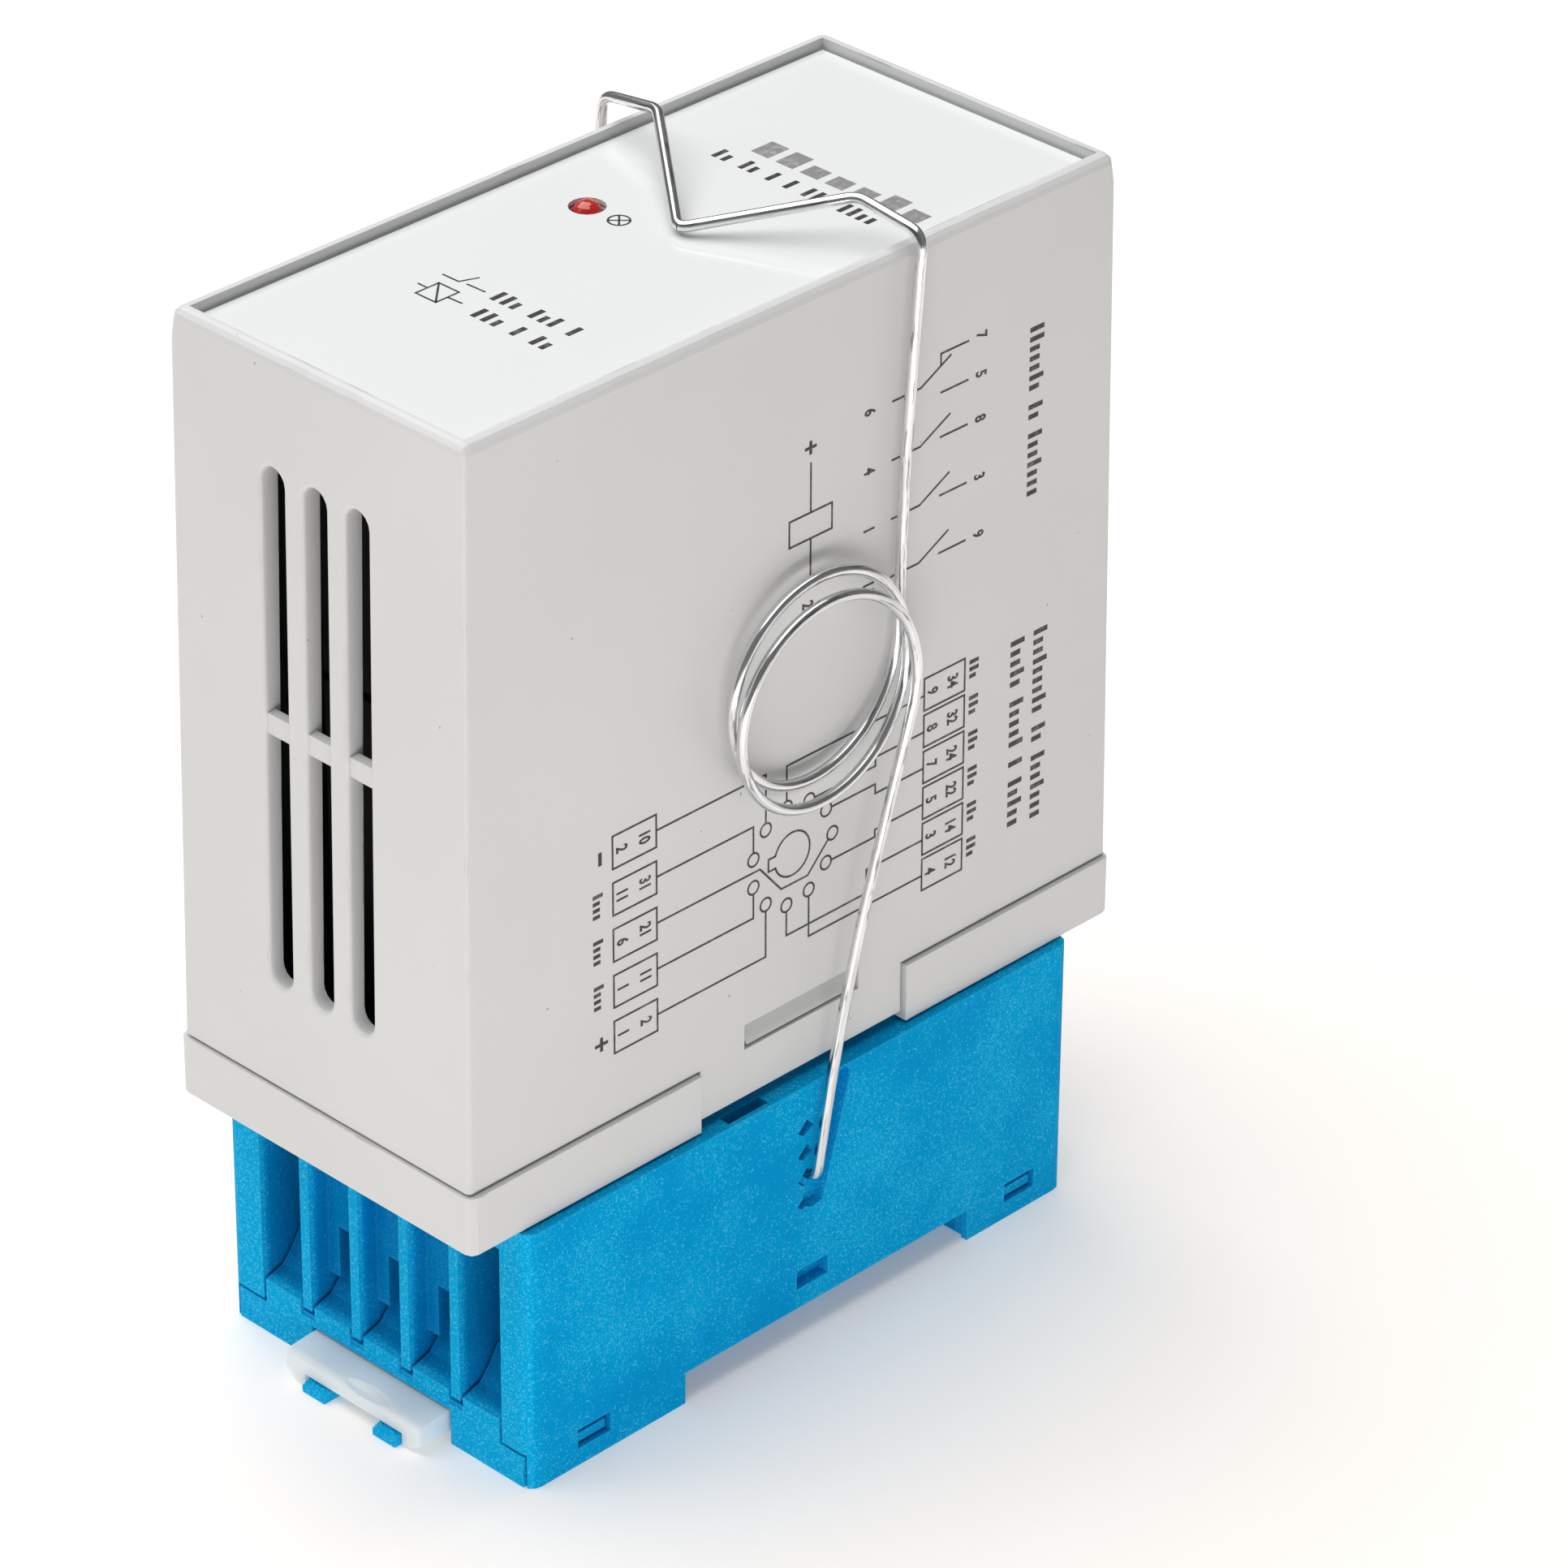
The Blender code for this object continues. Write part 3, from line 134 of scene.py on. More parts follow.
# Columns of numbered boxes: low and high side, top of the first box, pitch, how far the box's line is
# below its top, and the places of its two numbers. Each row has those numbers and its pin mark.
LEFT_COLUMN = (-22.1, -17.05, 59.9, 4.5, 1.55, -18.34, -20.99)
LEFT_ROWS = ((10, 2, 4), (31, 11, 5), (21, 6, 0), (11, 1, 6), (2, 1, 7))
RIGHT_COLUMN = (15.1, 20.15, 59.8, 3.6, 1.65, 18.69, 16.20)
RIGHT_ROWS = ((34, 9, 3), (32, 8, 2), (24, 7, 1), (22, 5, 10), (14, 3, 8), (12, 4, 9))
BOX_HEIGHT = 3.15

# Contact symbols: the heights of the fixed contacts and of the common ones, each with its pin number.
FIXED_CONTACTS = ((90.45, 7), (86.78, 5), (82.57, 8), (77.0, 3), (71.46, 9))
COMMON_CONTACTS = ((88.1, 6), (82.57, 4), (77.0, 1), (71.46, 11))


# ---------------------------------------------------------------- camera, light and floor


def make_camera():
    data = bpy.data.cameras.new("camera")
    data.lens = CAMERA_LENS
    data.sensor_width = CAMERA_SENSOR
    camera = bpy.data.objects.new("camera", data)
    bpy.context.scene.collection.objects.link(camera)
    turn = (CAMERA_AIM - CAMERA_PLACE).to_track_quat("-Z", "Y")
    camera.rotation_mode = "QUATERNION"
    camera.rotation_quaternion = turn @ Quaternion((0.0, 0.0, 1.0), CAMERA_ROLL)
    camera.location = CAMERA_PLACE
    bpy.context.scene.camera = camera


def area_light(name, place, aim, size, power):
    data = bpy.data.lights.new(name, "AREA")
    data.shape = "RECTANGLE"
    data.size, data.size_y = size
    data.energy = power
    light = bpy.data.objects.new(name, data)
    light.location = place
    light.rotation_mode = "QUATERNION"
    light.rotation_quaternion = (Vector(aim) - Vector(place)).to_track_quat("-Z", "Y")
    bpy.context.scene.collection.objects.link(light)


def make_light():
    area_light("light_top", *TOP_LIGHT)
    area_light("light_low", *LOW_LIGHT)
    world = bpy.data.worlds.new("studio")
    world.use_nodes = True
    backdrop = world.node_tree.nodes["Background"]
    backdrop.inputs["Color"].default_value = (1.0, 1.0, 1.0, 1.0)
    backdrop.inputs["Strength"].default_value = BACKDROP_STRENGTH
    bpy.context.scene.world = world
    bpy.context.scene.view_settings.view_transform = "Standard"


def make_floor():
    bm = bmesh.new()
    bmesh.ops.create_grid(bm, x_segments=1, y_segments=1, size=FLOOR_HALF)
    floor = object_from("floor", bm)
    paper = Finish("floor_paper", roughness=0.7, colour=(1.0, 0.94, 0.89))
    paper.set("Emission Color", (1.0, 0.99, 0.98, 1.0))
    paper.set("Emission Strength", FLOOR_GLOW)
    paper.bump(paper.noise(900.0, 3.0), 0.00005, 0.05)
    floor.data.materials.append(paper.material)


# ---------------------------------------------------------------- meshes


def object_from(name, bm, smooth_degrees=None):
    mesh = bpy.data.meshes.new(name)
    bm.normal_update()
    bm.to_mesh(mesh)
    bm.free()
    obj = bpy.data.objects.new(name, mesh)
    bpy.context.scene.collection.objects.link(obj)
    if smooth_degrees is not None:
        mesh.shade_smooth()
        mesh.set_sharp_from_angle(angle=math.radians(smooth_degrees))
    return obj


def dress(obj, finish):
    obj.data.materials.clear()
    obj.data.materials.append(finish.material)
    return obj


def rounded_path(corners, radii):
    """A path through the corners with each inner one rounded by its own radius."""
    corners = [Vector(c) for c in corners]
    path = [corners[0]]
    for before, corner, after, radius in zip(corners, corners[1:], corners[2:], radii):
        inward = (before - corner).normalized()
        outward = (after - corner).normalized()
        reach = radius / math.tan(inward.angle(outward) / 2)
        start = corner + inward * reach
        end = corner + outward * reach
        for step in range(BEND_STEPS + 1):
            t = step / BEND_STEPS
            path.append(start * (1 - t) ** 2 + corner * 2 * t * (1 - t) + end * t**2)
    path.append(corners[-1])
    return path


def spaced(path, longest):
    """The path with points added so that no step is longer than the given length."""
    points = [path[0]]
    for before, after in zip(path, path[1:]):
        count = max(1, math.ceil((after - before).length / longest))
        points += [before.lerp(after, step / count) for step in range(1, count + 1)]
    return points


def tube(name, path):
    """A round wire. Its attribute wire_place holds the length along it and the way round it."""
    bm = bmesh.new()
    layer = bm.verts.layers.float_vector.new("wire_place")
    rings = []
    run = 0.0
    across = None
    for i, point in enumerate(path):
        along = (path[min(i + 1, len(path) - 1)] - path[max(i - 1, 0)]).normalized()
        across = along.orthogonal() if across is None else across - along * across.dot(along)
        across.normalize()
        other = along.cross(across)
        run += (point - path[max(i - 1, 0)]).length
        ring = []
        for side in range(WIRE_SIDES):
            angle = math.tau * side / WIRE_SIDES
            offset = across * math.cos(angle) + other * math.sin(angle)
            vert = bm.verts.new((point + offset * WIRE_RADIUS) * MM)
            vert[layer] = (run, math.cos(angle), math.sin(angle))
            ring.append(vert)
        rings.append(ring)
    for ring, after in zip(rings, rings[1:]):
        for side in range(WIRE_SIDES):
            turn = (side + 1) % WIRE_SIDES
            bm.faces.new((ring[side], ring[turn], after[turn], after[side]))
    bm.faces.new(rings[0][::-1])
    bm.faces.new(rings[-1])
    return object_from(name, bm, 40.0)


# ---------------------------------------------------------------- finishes


class Finish:
    """A Principled material, with short calls that add procedural detail in object space."""

    def __init__(self, name, roughness, colour, metallic=0.0, **sockets):
        self.material = bpy.data.materials.new(name)
        self.material.use_nodes = True
        self.tree = self.material.node_tree
        self.shader = self.tree.nodes["Principled BSDF"]
        self.set("Roughness", roughness)
        self.set("Base Color", (*colour, 1.0))
        self.set("Metallic", metallic)
        for key, value in sockets.items():
            self.set(key.replace("_", " ").title().replace("Ior", "IOR"), value)
        self.place = self.node("ShaderNodeTexCoord").outputs["Object"]

    def set(self, socket, value):
        self.shader.inputs[socket].default_value = value

    def node(self, kind, **settings):
        made = self.tree.nodes.new(kind)
        for key, value in settings.items():
            setattr(made, key, value)
        return made

    def link(self, output, target):
        self.tree.links.new(output, target)

    def stretched(self, scale):
        mapping = self.node("ShaderNodeMapping")
        mapping.inputs["Scale"].default_value = scale
        self.link(self.place, mapping.inputs["Vector"])
        return mapping.outputs["Vector"]

    def noise(self, scale, detail=2.0, stretch=None, rough=0.5):
        texture = self.node("ShaderNodeTexNoise")
        texture.inputs["Scale"].default_value = scale
        texture.inputs["Detail"].default_value = detail
        texture.inputs["Roughness"].default_value = rough
        self.link(self.stretched(stretch) if stretch else self.place, texture.inputs["Vector"])
        return texture.outputs["Fac"]

    def span(self, value, low, high, to_low=0.0, to_high=1.0):
        """The value's range from low to high, spread over to_low to to_high."""
        spread = self.node("ShaderNodeMapRange")
        limits = {"From Min": low, "From Max": high, "To Min": to_low, "To Max": to_high}
        for key, number in limits.items():
            spread.inputs[key].default_value = number
        self.link(value, spread.inputs["Value"])
        return spread.outputs["Result"]

    def specks(self, scale, radius, share):
        """1 inside small round specks, one to a cell; share is how many of the cells have theirs."""
        cells = self.node("ShaderNodeTexVoronoi")
        cells.inputs["Scale"].default_value = scale
        self.link(self.place, cells.inputs["Vector"])
        split = self.node("ShaderNodeSeparateColor")
        self.link(cells.outputs["Color"], split.inputs["Color"])
        body = self.span(cells.outputs["Distance"], radius * SPECK_OUTER, radius * SPECK_CORE)
        return self.math("MULTIPLY", body, self.math("LESS_THAN", split.outputs["Red"], share))

    def math(self, operation, first, second):
        made = self.node("ShaderNodeMath", operation=operation)
        for socket, value in zip(made.inputs, (first, second)):
            if isinstance(value, float):
                socket.default_value = value
            else:
                self.link(value, socket)
        return made.outputs["Value"]

    def mix(self, share, first, second):
        made = self.node("ShaderNodeMix", data_type="RGBA")
        self.link(share, made.inputs["Factor"])
        for socket, value in (("A", first), ("B", second)):
            target = [s for s in made.inputs if s.name == socket and s.type == "RGBA"][0]
            if isinstance(value, tuple):
                target.default_value = (*value, 1.0)
            else:
                self.link(value, target)
        return [s for s in made.outputs if s.type == "RGBA"][0]

    def edges(self, width):
        """1 on edges that are rounded within the width, and 0 on flat faces."""
        bevel = self.node("ShaderNodeBevel", samples=4)
        bevel.inputs["Radius"].default_value = width
        flat = self.node("ShaderNodeNewGeometry").outputs["Normal"]
        dot = self.node("ShaderNodeVectorMath", operation="DOT_PRODUCT")
        self.link(bevel.outputs["Normal"], dot.inputs[0])
        self.link(flat, dot.inputs[1])
        return self.span(dot.outputs["Value"], FLAT_FACING, ROUND_FACING)

    def colour(self, output):
        self.link(output, self.shader.inputs["Base Color"])

    def roughness(self, output):
        self.link(output, self.shader.inputs["Roughness"])

    def bump(self, height, distance, strength=1.0):
        made = self.node("ShaderNodeBump")
        made.inputs["Distance"].default_value = distance
        made.inputs["Strength"].default_value = strength
        self.link(height, made.inputs["Height"])
        self.link(made.outputs["Normal"], self.shader.inputs["Normal"])


def grey_moulding():
    """Satin light grey plastic with a fine grain, faint flow clouds and a few dark specks."""
    finish = Finish("cover_grey", 0.42, (0.60, 0.605, 0.60))
    cloud = finish.span(finish.noise(28.0, 3.0), 0.35, 0.65)
    tone = finish.mix(cloud, (0.715, 0.723, 0.718), (0.74, 0.748, 0.744))
    speck = finish.span(finish.noise(1500.0, 1.0), 0.82, 0.83)
    tone = finish.mix(speck, tone, (0.33, 0.33, 0.32))
    scuffs = finish.span(finish.noise(160.0, 4.0), 0.56, 0.66)
    worn = finish.math("MULTIPLY", finish.edges(0.0004), scuffs)
    finish.colour(finish.mix(worn, tone, (0.40, 0.40, 0.39)))
    finish.roughness(finish.span(finish.noise(240.0, 3.0), 0.3, 0.7, 0.36, 0.47))
    finish.bump(finish.noise(2600.0, 2.0), 0.00002, 0.25)
    return finish


def white_label():
    """Glossy off-white laminate, very slightly uneven."""
    finish = Finish("label_white", 0.16, (0.84, 0.85, 0.85), coat_weight=0.3, coat_roughness=0.08)
    finish.colour(finish.mix(finish.noise(45.0, 2.0), (0.86, 0.87, 0.87), (0.885, 0.895, 0.895)))
    finish.roughness(finish.span(finish.noise(500.0, 2.0), 0.3, 0.7, 0.13, 0.2))
    finish.bump(finish.noise(220.0, 1.0), 0.00002, 0.15)
    return finish


def blue_moulding():
    """Blue glass-filled nylon: pale fibres show in drifting patches, the wire bays carry painted shade
    and the rounded edges a painted highlight.
    """
    finish = Finish("socket_blue", 0.45, (0.0, 0.36, 0.72), specular_ior_level=0.012)
    axes = finish.node("ShaderNodeSeparateXYZ")
    finish.link(finish.place, axes.inputs["Vector"])
    along = finish.math("ABSOLUTE", axes.outputs["X"], 0.0)
    across = finish.math("ABSOLUTE", axes.outputs["Y"], 0.0)
    skin = finish.span(along, *END_SKIN)
    # Painted shade: inside the socket's footprint the wire bays are mixed towards a darker blue.
    painted_bay_shade = finish.math("MULTIPLY", finish.span(along, *SHADED_BAY_ALONG), finish.span(across, *SHADED_BAY_ACROSS))
    patch = finish.span(finish.noise(62.0, 5.0, rough=0.66), 0.40, 0.68)
    patch = finish.math("MAXIMUM", patch, finish.math("MULTIPLY", skin, 0.9))
    grain = finish.noise(3600.0, 2.0, stretch=(1.0, 1.0, 0.6), rough=0.6)
    large = finish.specks(3300.0, 0.36, finish.span(patch, 0.0, 1.0, 0.02, 0.30))
    small = finish.specks(5600.0, 0.46, finish.span(patch, 0.0, 1.0, 0.04, 0.80))
    large, small = finish.math("MULTIPLY", large, 0.8), finish.math("MULTIPLY", small, 0.55)
    fibre = finish.math("MAXIMUM", large, small)
    tone = finish.mix(patch, (0.0, 0.33, 0.70), (0.0, 0.42, 0.80))
    tone = finish.mix(fibre, tone, (0.08, 0.60, 0.90))
    # Painted shade: darker blue in the wire bays.
    tone = finish.mix(finish.math("MULTIPLY", painted_bay_shade, 0.55), tone, (0.0, 0.17, 0.46))
    # Painted highlight: the rounded edges are mixed towards a lighter blue.
    painted_edge_highlight = finish.math("MULTIPLY", finish.edges(0.0005), 0.35)
    finish.colour(finish.mix(painted_edge_highlight, tone, (0.03, 0.50, 0.84)))
    finish.roughness(finish.span(fibre, 0.0, 1.0, 0.40, 0.56))
    finish.bump(grain, 0.00002, 0.35)
    return finish


def natural_nylon():
    """Milky translucent nylon."""
    finish = Finish("nylon_white", 0.32, (0.78, 0.87, 0.90), subsurface_weight=0.55)
    finish.set("Subsurface Scale", 0.004)
    finish.set("Subsurface Radius", (1.0, 1.0, 1.0))
    finish.colour(finish.mix(finish.noise(160.0, 2.0), (0.88, 0.975, 1.0), (0.93, 0.99, 1.0)))
    finish.bump(finish.noise(900.0, 2.0), 0.00002, 0.2)
    return finish


def bright_wire():
    """Drawn spring steel: long fine draw lines, painted dark reflection streaks and a few small dark
    pits.
    """
    finish = Finish("wire_steel", 0.16, (0.74, 0.75, 0.76), metallic=1.0)
    finish.place = finish.node("ShaderNodeAttribute", attribute_name="wire_place").outputs["Vector"]
    lines = finish.noise(2.6, 3.0, stretch=(0.05, 1.0, 1.0), rough=0.6)
    # Painted reflection: dark streaks along the wire stand for dark surroundings mirrored in it.
    dark_reflection_streak = finish.span(finish.noise(1.7, 2.0, stretch=(0.16, 1.0, 1.0), rough=0.6), 0.60, 0.65)
    pits = finish.span(finish.noise(4.5, 3.0, stretch=(0.8, 1.0, 1.0), rough=0.7), 0.69, 0.74)
    tone = finish.mix(finish.span(lines, 0.35, 0.65), (0.62, 0.63, 0.64), (0.86, 0.87, 0.88))
    tone = finish.mix(finish.math("MULTIPLY", dark_reflection_streak, 0.6), tone, (0.09, 0.09, 0.10))
    finish.colour(finish.mix(pits, tone, (0.05, 0.05, 0.055)))
    finish.roughness(finish.span(lines, 0.3, 0.7, 0.10, 0.22))
    finish.bump(lines, 0.00001, 0.3)
    return finish


def red_lens():
    """Clear red plastic, glossy."""
    finish = Finish("led_red", 0.08, (0.55, 0.012, 0.006), coat_weight=1.0, coat_roughness=0.03)
    finish.set("Subsurface Weight", 0.25)
    finish.set("Subsurface Scale", 0.001)
    finish.colour(finish.mix(finish.noise(700.0, 1.0), (0.48, 0.008, 0.004), (0.66, 0.02, 0.01)))
    return finish


def metal(name, low, high, roughness, scale):
    """Plated or tinned metal with a mottled skin."""
    finish = Finish(name, roughness, high, metallic=1.0)
    mottle = finish.noise(scale, 4.0, rough=0.6)
    finish.colour(finish.mix(finish.span(mottle, 0.3, 0.7), low, high))
    finish.roughness(finish.span(mottle, 0.3, 0.7, roughness - 0.06, roughness + 0.1))
    finish.bump(mottle, 0.00003, 0.3)
    return finish


def dark_plastic(name, tone, roughness):
    finish = Finish(name, roughness, tone)
    lighter = tuple(1.6 * part for part in tone)
    finish.colour(finish.mix(finish.noise(260.0, 3.0), tone, lighter))
    finish.bump(finish.noise(2400.0, 2.0), 0.00003, 0.4)
    return finish


def circuit_board():
    """Green solder mask over faint copper tracks, near black in tone: partly the dark mask, partly
    painted shade for the dark inside of the relay.
    """
    finish = Finish("board_green", 0.35, (0.02, 0.14, 0.06), coat_weight=0.4)
    tracks = finish.node("ShaderNodeTexBrick")
    tracks.inputs["Scale"].default_value = 160.0
    tracks.inputs["Mortar Size"].default_value = 0.03
    finish.link(finish.place, tracks.inputs["Vector"])
    # Near-black board colours: partly the dark solder mask, partly painted shade inside the relay.
    finish.colour(finish.mix(tracks.outputs["Fac"], (0.002, 0.010, 0.006), (0.004, 0.018, 0.010)))
    finish.bump(tracks.outputs["Fac"], 0.00004, 0.5)
    return finish


def copper_winding():
    """Enamelled copper wound in fine turns round the coil's axis."""
    finish = Finish("coil_copper", 0.3, (0.48, 0.16, 0.06), metallic=0.8)
    turns = finish.node("ShaderNodeTexWave", bands_direction="Y")
    turns.inputs["Scale"].default_value = 900.0
    finish.link(finish.place, turns.inputs["Vector"])
    finish.colour(finish.mix(turns.outputs["Fac"], (0.30, 0.09, 0.03), (0.56, 0.20, 0.08)))
    finish.bump(turns.outputs["Fac"], 0.00008, 0.6)
    return finish


def printing_ink(name, tone):
    """Pad-printed ink, a little thin in places."""
    finish = Finish(name, 0.5, (tone,) * 3)
    thin = finish.span(finish.noise(1500.0, 3.0), 0.5, 0.75)
    finish.colour(finish.mix(thin, (0.85 * tone,) * 3, (0.1 + 1.1 * tone,) * 3))
    return finish


def make_finishes():
    return {
        "cover_grey": grey_moulding(),
        "label_white": white_label(),
        "led_red": red_lens(),
        "board_green": circuit_board(),
        "socket_blue": blue_moulding(),
        "nylon_white": natural_nylon(),
        "wire_steel": bright_wire(),
        "screw_steel": metal("screw_steel", (0.52, 0.52, 0.50), (0.74, 0.74, 0.72), 0.3, 900.0),
        "tinned_brass": metal("tinned_brass", (0.56, 0.50, 0.36), (0.74, 0.68, 0.52), 0.28, 700.0),
        "relay_case_dark": dark_plastic("relay_case_dark", (0.018, 0.018, 0.02), 0.35),
        "relay_moulding": dark_plastic("relay_moulding", (0.08, 0.08, 0.09), 0.5),
        "coil_copper": copper_winding(),
        "relay_steel": metal("relay_steel", (0.40, 0.40, 0.41), (0.60, 0.60, 0.61), 0.33, 600.0),
        "ink": printing_ink("printing_ink", 0.035),
        "pale_ink": printing_ink("pale_printing_ink", 0.30),
    }


# ---------------------------------------------------------------- carried-over CAD nodes


def dress_cad_nodes():
    slots = {row["node"]: row["material_slot"] for row in frame["record"]["subparts"]}
    for name, node in NODES.items():
        dress(node, FINISHES[slots[name]])


def soften(node, width):
    """Rounds a CAD node's edges with a modifier; the node's own mesh stays as it is."""
    bevel = NODES[node].modifiers.new("soft_edges", "BEVEL")
    bevel.width = width * MM
    bevel.segments = 2
    bevel.limit_method = "ANGLE"
    bevel.angle_limit = math.radians(30.0)
    bevel.harden_normals = False
    NODES[node].data.shade_smooth()


# ---------------------------------------------------------------- spring wire


def coil_points(side, first, last):
    """Points of the coil between two counts of turns, down its +X side and outward."""
    steps = math.ceil(abs(last - first) * STEPS_PER_TURN)
    points = []
    for step in range(steps + 1):
        turn = first + (last - first) * step / steps
        angle = -turn * math.tau
        x = COIL_CENTRE[0] + COIL_RADIUS * math.cos(angle)
        z = COIL_CENTRE[1] - COIL_DROP * turn + COIL_RADIUS * math.sin(angle)
        points.append(Vector((x, side * (LEG_Y + COIL_PITCH * turn), z)))
    return points


def bail_half(start, side):
    """The bail from the top of one coil to the tip of its V."""
    near = [start] + [Vector((x, side * y, z)) for x, y, z in BAIL_HALF]
    far = [Vector((x, -y, z)) for x, y, z in reversed(near)]
    whole = rounded_path(near + [Vector(BAIL_TIP)] + far, BAIL_RADII)
    return whole[: len(whole) // 2 + 1]


def make_wire():
    """Each side's wire is two tubes that meet end to end, one turn down the coil."""
    for side, place in ((-1, "front"), (1, "rear")):
        lower_coil = coil_points(side, COIL_TURNS, 1.0)
        bend = (HOOK[0], side * HOOK_Y[1], HOOK[1])
        tip = (HOOK[0], side * HOOK_Y[0], HOOK[1])
        bow = (LEG_BOW[0], side * LEG_BOW[1], LEG_BOW[2])
        leg = rounded_path([tip, bend, bow, lower_coil[0]], [HOOK_BEND_RADIUS, LEG_BOW_RADIUS])
        lower = tube(f"wire_lower_{place}", spaced(leg[:-1] + lower_coil, LONGEST_STEP))
        stretch(lower, "clip_legs", "clip_coils", LEG_STRETCH_Z)
        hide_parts(f"clip_leg_{place}", f"clip_coil_{place}")

        upper_coil = coil_points(side, 1.0, 0.0)
        bail = bail_half(upper_coil[-1], side)
        upper = tube(f"wire_upper_{place}", spaced(upper_coil[:-1] + bail, LONGEST_STEP))
        stretch(upper, "clip_coils", "clip_bail", BAIL_STRETCH_Z)
        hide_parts(f"clip_coil_{place}", "clip_bail")


def stretch(wire, first, second, heights):
    """Gives the wire its steel finish and bakes its placement into its mesh."""
    dress(wire, FINISHES["wire_steel"])
    low, high = (Vector((0.0, 0.0, z)) * MM for z in heights)
    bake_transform(wire)


# ---------------------------------------------------------------- printed marks


def on_wide_face(a, b, height):
    """A place on the printed wide face: a runs along X and b is the height."""
    (low_z, low_half), (high_z, high_half) = WIDE_FACE
    half = low_half + (high_half - low_half) * (b - low_z) / (high_z - low_z)
    return Vector((a, -half - height, b)) * MM


def on_label(a, b, height):
    """A place on the label: a runs along X and b along Y."""
    return Vector((a, b, LABEL_TOP_Z + height)) * MM


class Print:
    """Ink as thin closed prisms on a face. Marks read towards -b, with their tops towards +a."""

    def __init__(self, place):
        self.place = place
        self.bm = bmesh.new()

    def line(self, path, width=LINE_WIDTH, closed=False):
        """A mitred line of ink along the path."""
        points = [Vector(point) for point in path]
        rings = []
        for i, point in enumerate(points):
            before = points[i - 1] if closed or i else None
            after = points[(i + 1) % len(points)] if closed or i + 1 < len(points) else None
            first = (point - before if before else after - point).normalized()
            last = (after - point if after else point - before).normalized()
            along = (first + last).normalized()
            side = Vector((-along.y, along.x)) * width / 2 / max(along.dot(first), 0.4)
            left, right = point + side, point - side
            heights = ((left, INK_HEIGHT), (right, INK_HEIGHT), (right, -INK_ROOT), (left, -INK_ROOT))
            rings.append([self.bm.verts.new(self.place(*at, height)) for at, height in heights])
        for ring, after in zip(rings, rings[1:] + rings[:1] if closed else rings[1:]):
            for k in range(4):
                self.bm.faces.new((ring[k], ring[(k + 1) % 4], after[(k + 1) % 4], after[k]))
        if not closed:
            self.bm.faces.new(rings[0][::-1])
            self.bm.faces.new(rings[-1])

    def frame(self, low, high):
        self.line([low, (high[0], low[1]), high, (low[0], high[1])], closed=True)

    def ring(self, centre, radius, first=0.0, sweep=360.0, steps=28):
        closed = sweep == 360.0
        angles = [math.radians(first + sweep * i / steps) for i in range(steps + (not closed))]
        path = [(centre[0] + radius * math.cos(t), centre[1] + radius * math.sin(t)) for t in angles]
        self.line(path, closed=closed)

    def text(self, body, centre, height=DIGIT_HEIGHT, squeeze=DIGIT_SQUEEZE):
        """Plain figures or signs."""
        curve = bpy.data.curves.new("figures", "FONT")
        curve.body = str(body)
        curve.size = height / CAPITAL_SHARE
        curve.align_x = "CENTER"
        curve.resolution_u = 3
        curve.extrude = 1.0
        curve.offset = DIGIT_BOLD
        obj = bpy.data.objects.new("figures", curve)
        bpy.context.scene.collection.objects.link(obj)
        bpy.context.view_layer.update()
        graph = bpy.context.evaluated_depsgraph_get()
        mesh = bpy.data.meshes.new_from_object(obj.evaluated_get(graph))
        for vert in mesh.vertices:
            across, up, side = vert.co
            level = INK_HEIGHT if side > 0 else -INK_ROOT
            vert.co = self.place(centre[0] + up - height / 2, centre[1] - across * squeeze, level)
        self.bm.from_mesh(mesh)
        bpy.data.objects.remove(obj)
        bpy.data.curves.remove(curve)
        bpy.data.meshes.remove(mesh)

    def words(self, a, start, end, height, counts, weight=0.55):
        """Rows of small plain blocks that stand for words, with their lengths in blocks."""
        blocks = sum(counts) + len(counts) - 1
        pitch = (start - end) / blocks
        place = 0
        for word, count in enumerate(counts):
            for i in range(count):
                tall = (i * 5 + word * 3 + count) % 4 == 0 or i == 0
                b = start - (place + i + 0.5) * pitch
                top = a + height / 2 if tall else a + height * 0.2
                self.line([(a - height / 2, b), (top, b)], pitch * weight)
            place += count + 1

    def piece(self, name, body, finish):
        bmesh.ops.remove_doubles(self.bm, verts=self.bm.verts, dist=1e-8)
        bmesh.ops.recalc_face_normals(self.bm, faces=self.bm.faces)
        obj = object_from(name, self.bm)
        dress(obj, finish)
        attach(obj, body)


def pin_mark(k):
    angle = math.tau * k / PINS
    a, b = PIN_RING_CENTRE
    return a + PIN_RING_RADIUS * math.cos(angle), b + PIN_RING_RADIUS * math.sin(angle)


def boxed_rows(ink, column, rows):
    """Draws each row's box and its two numbers, then gives the height of its line and its pin mark."""
    low, high, first, pitch, drop, upper_place, lower_place = column
    for i, (upper, lower, pin) in enumerate(rows):
        top = first - pitch * i
        ink.frame((low, top - BOX_HEIGHT), (high, top))
        ink.text(upper, (upper_place, top - BOX_HEIGHT / 2))
        ink.text(lower, (lower_place, top - BOX_HEIGHT / 2))
        yield top - drop, pin


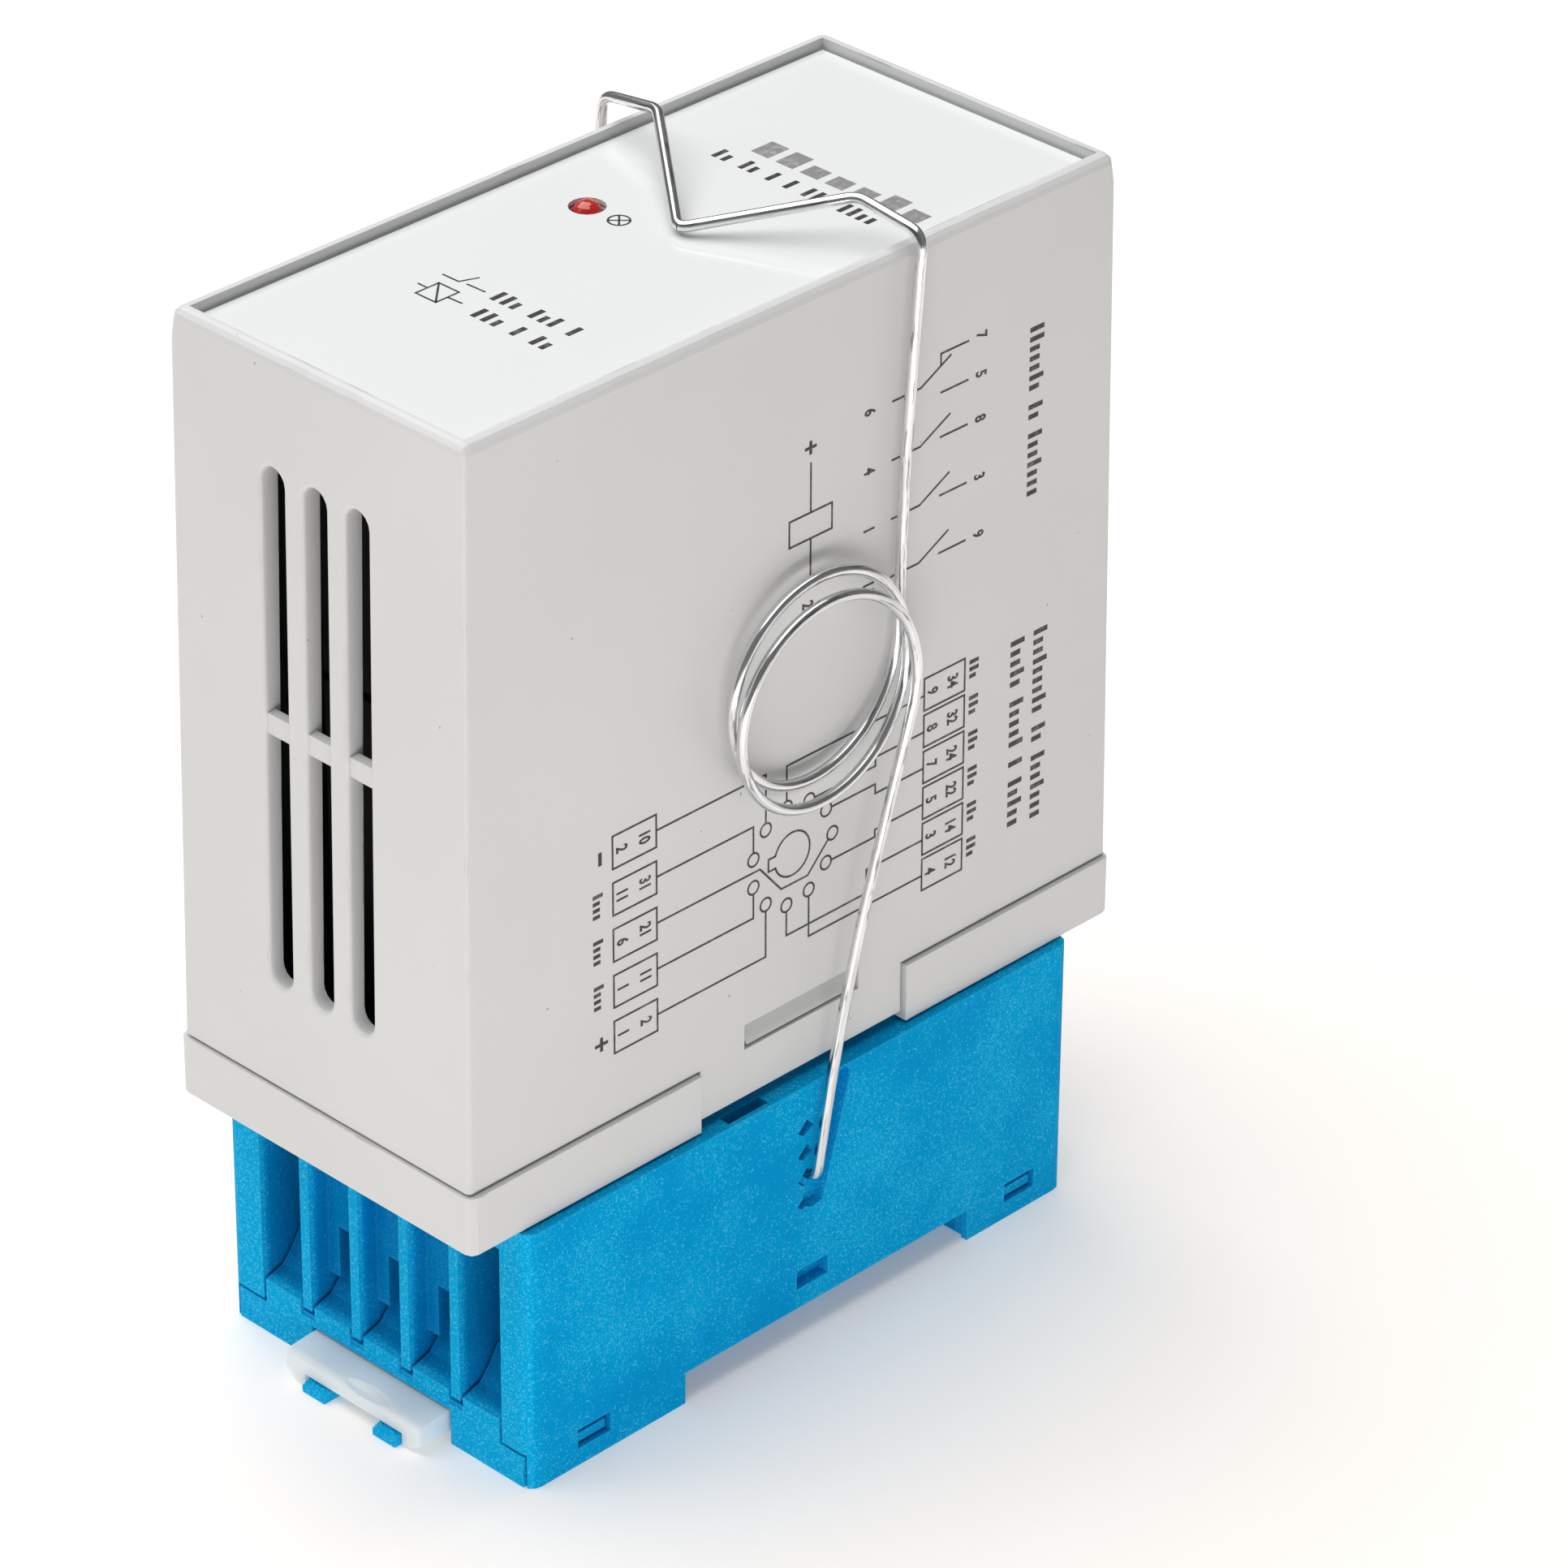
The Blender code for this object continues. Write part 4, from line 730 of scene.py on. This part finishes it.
def print_terminals(ink):
    """Two columns of numbered boxes, one for each row of terminals, joined to a ring of pins."""
    for k in range(PINS):
        ink.ring(pin_mark(k), PIN_MARK_RADIUS)
    a, b = PIN_RING_CENTRE
    ink.ring(PIN_RING_CENTRE, KEY_MARK_RADIUS, first=-166.0, sweep=332.0)
    key_root, key_tip, key_half = a - KEY_MARK_RADIUS + 0.1, a - KEY_MARK_RADIUS - 0.75, 0.6
    key = [(key_root, b - key_half), (key_tip, b - key_half), (key_tip, b + key_half)]
    ink.line(key + [(key_root, b + key_half)])

    painted_bay_shade = LEFT_COLUMN[1]
    for row, pin in boxed_rows(ink, LEFT_COLUMN, LEFT_ROWS):
        x, z = pin_mark(pin)
        if pin:
            rim = math.copysign(PIN_MARK_RADIUS, row - z)
            ink.line([(painted_bay_shade, row), (x, row), (x, z + rim)])
        else:
            path = [(-4.83, row), (-2.28, 46.3), (0.92, 46.3), (x - 0.5, z - 0.42)]
            ink.line([(painted_bay_shade, row)] + path)
    for i in range(3):
        ink.words(-23.85, 55.2 - 4.45 * i, 52.6 - 4.45 * i, 1.15, (4,))
    ink.line([(-23.54, 58.97), (-23.54, 57.69)], 0.4)
    ink.text("+", (-23.57, 40.3), 2.2, 0.9)

    painted_bay_shade = RIGHT_COLUMN[0]
    for i, (row, pin) in enumerate(boxed_rows(ink, RIGHT_COLUMN, RIGHT_ROWS)):
        x, z = pin_mark(pin)
        if pin in (3, 9):
            rim = math.copysign(PIN_MARK_RADIUS, row - z)
            ink.line([(x, z + rim), (x, row), (painted_bay_shade, row)])
        elif pin == 8:
            ink.line([(x, z - PIN_MARK_RADIUS), (x, 41.4), (8.15, 41.4), (8.15, row), (painted_bay_shade, row)])
        else:
            ink.line([(x + PIN_MARK_RADIUS, z), (9.15, z), (9.15, row), (painted_bay_shade, row)])
        ink.words(21.3, 59.5 - 3.58 * i, 57.4 - 3.58 * i, 1.15, (3,))


def print_contacts(ink):
    """Relay contacts and coil as plain circuit symbols."""
    for row, number in FIXED_CONTACTS:
        ink.line([(16.55, row), (19.95, row)])
        ink.text(number, (21.55, row))
    top_row = FIXED_CONTACTS[0][0]
    ink.line([(16.55, top_row + LINE_WIDTH / 2), (16.55, top_row - 1.06)])
    for row, number in COMMON_CONTACTS:
        ink.line([(10.7, row), (14.15, row), (17.8, row + 1.85)])
        ink.text(number, (8.1, row))
    coil_place, coil_low, coil_high = 1.07, 78.9, 81.33
    ink.line([(coil_place, 86.0), (coil_place, coil_high)])
    ink.frame((-1.45, coil_low), (3.6, coil_high))
    ink.line([(coil_place, coil_low), (coil_place, 75.0)])
    ink.text("+", (coil_place, 87.4), 2.0, 0.9)
    ink.text("2", (0.8, 72.7))


def make_wide_face_print():
    ink = Print(on_wide_face)
    print_terminals(ink)
    print_contacts(ink)
    ink.words(28.4, 89.1, 72.5, 1.75, (7, 2, 7), 0.5)
    ink.words(29.7, 59.3, 39.9, 1.75, (9, 2, 7), 0.5)
    ink.words(26.8, 59.3, 40.2, 1.75, (5, 5, 1, 5), 0.5)
    ink.piece("print_wide_face", "relay_module", FINISHES["ink"])


def make_label_print():
    """The label's marks: a lamp sign, contact and coil signs, and rows of blocks."""
    ink = Print(on_label)
    lamp, radius = (0.3, 4.3), 0.95
    ink.ring(lamp, radius)
    reach = radius * math.sqrt(0.5)
    for turn in (-1, 1):
        ink.line([(lamp[0] - reach, lamp[1] - reach * turn), (lamp[0] + reach, lamp[1] + reach * turn)])
    ink.line([(-16.92, 7.34), (-16.90, 5.44), (-15.2, 4.75)])
    ink.line([(-16.73, 4.65), (-16.65, 2.52)])
    ink.line([(-19.48, 7.55), (-19.48, 6.4)])
    ink.frame((-20.8, 4.0), (-18.2, 6.4))
    ink.line([(-20.8, 4.0), (-18.2, 6.4)])
    ink.line([(-19.48, 4.0), (-19.4, 2.33)])
    ink.words(-16.4, 1.75, -8.2, 1.7, (3, 3, 1), 0.5)
    ink.words(-19.57, 0.7, -8.4, 1.7, (3, 1, 2), 0.5)
    ink.words(15.3, 8.0, -11.0, 1.7, (2, 2, 1, 1, 3, 4), 0.5)
    ink.piece("print_label", "relay_module", FINISHES["ink"])
    pale = Print(on_label)
    pale.words(18.8, 6.4, -13.9, 2.6, (7,), 0.7)
    pale.piece("print_label_pale", "relay_module", FINISHES["pale_ink"])


# ---------------------------------------------------------------- scene


make_camera()
make_light()
FINISHES = make_finishes()
make_floor()
dress_cad_nodes()
for softened, edge_width in EDGE_WIDTHS.items():
    soften(softened, edge_width)
make_wire()
make_wide_face_print()
make_label_print()
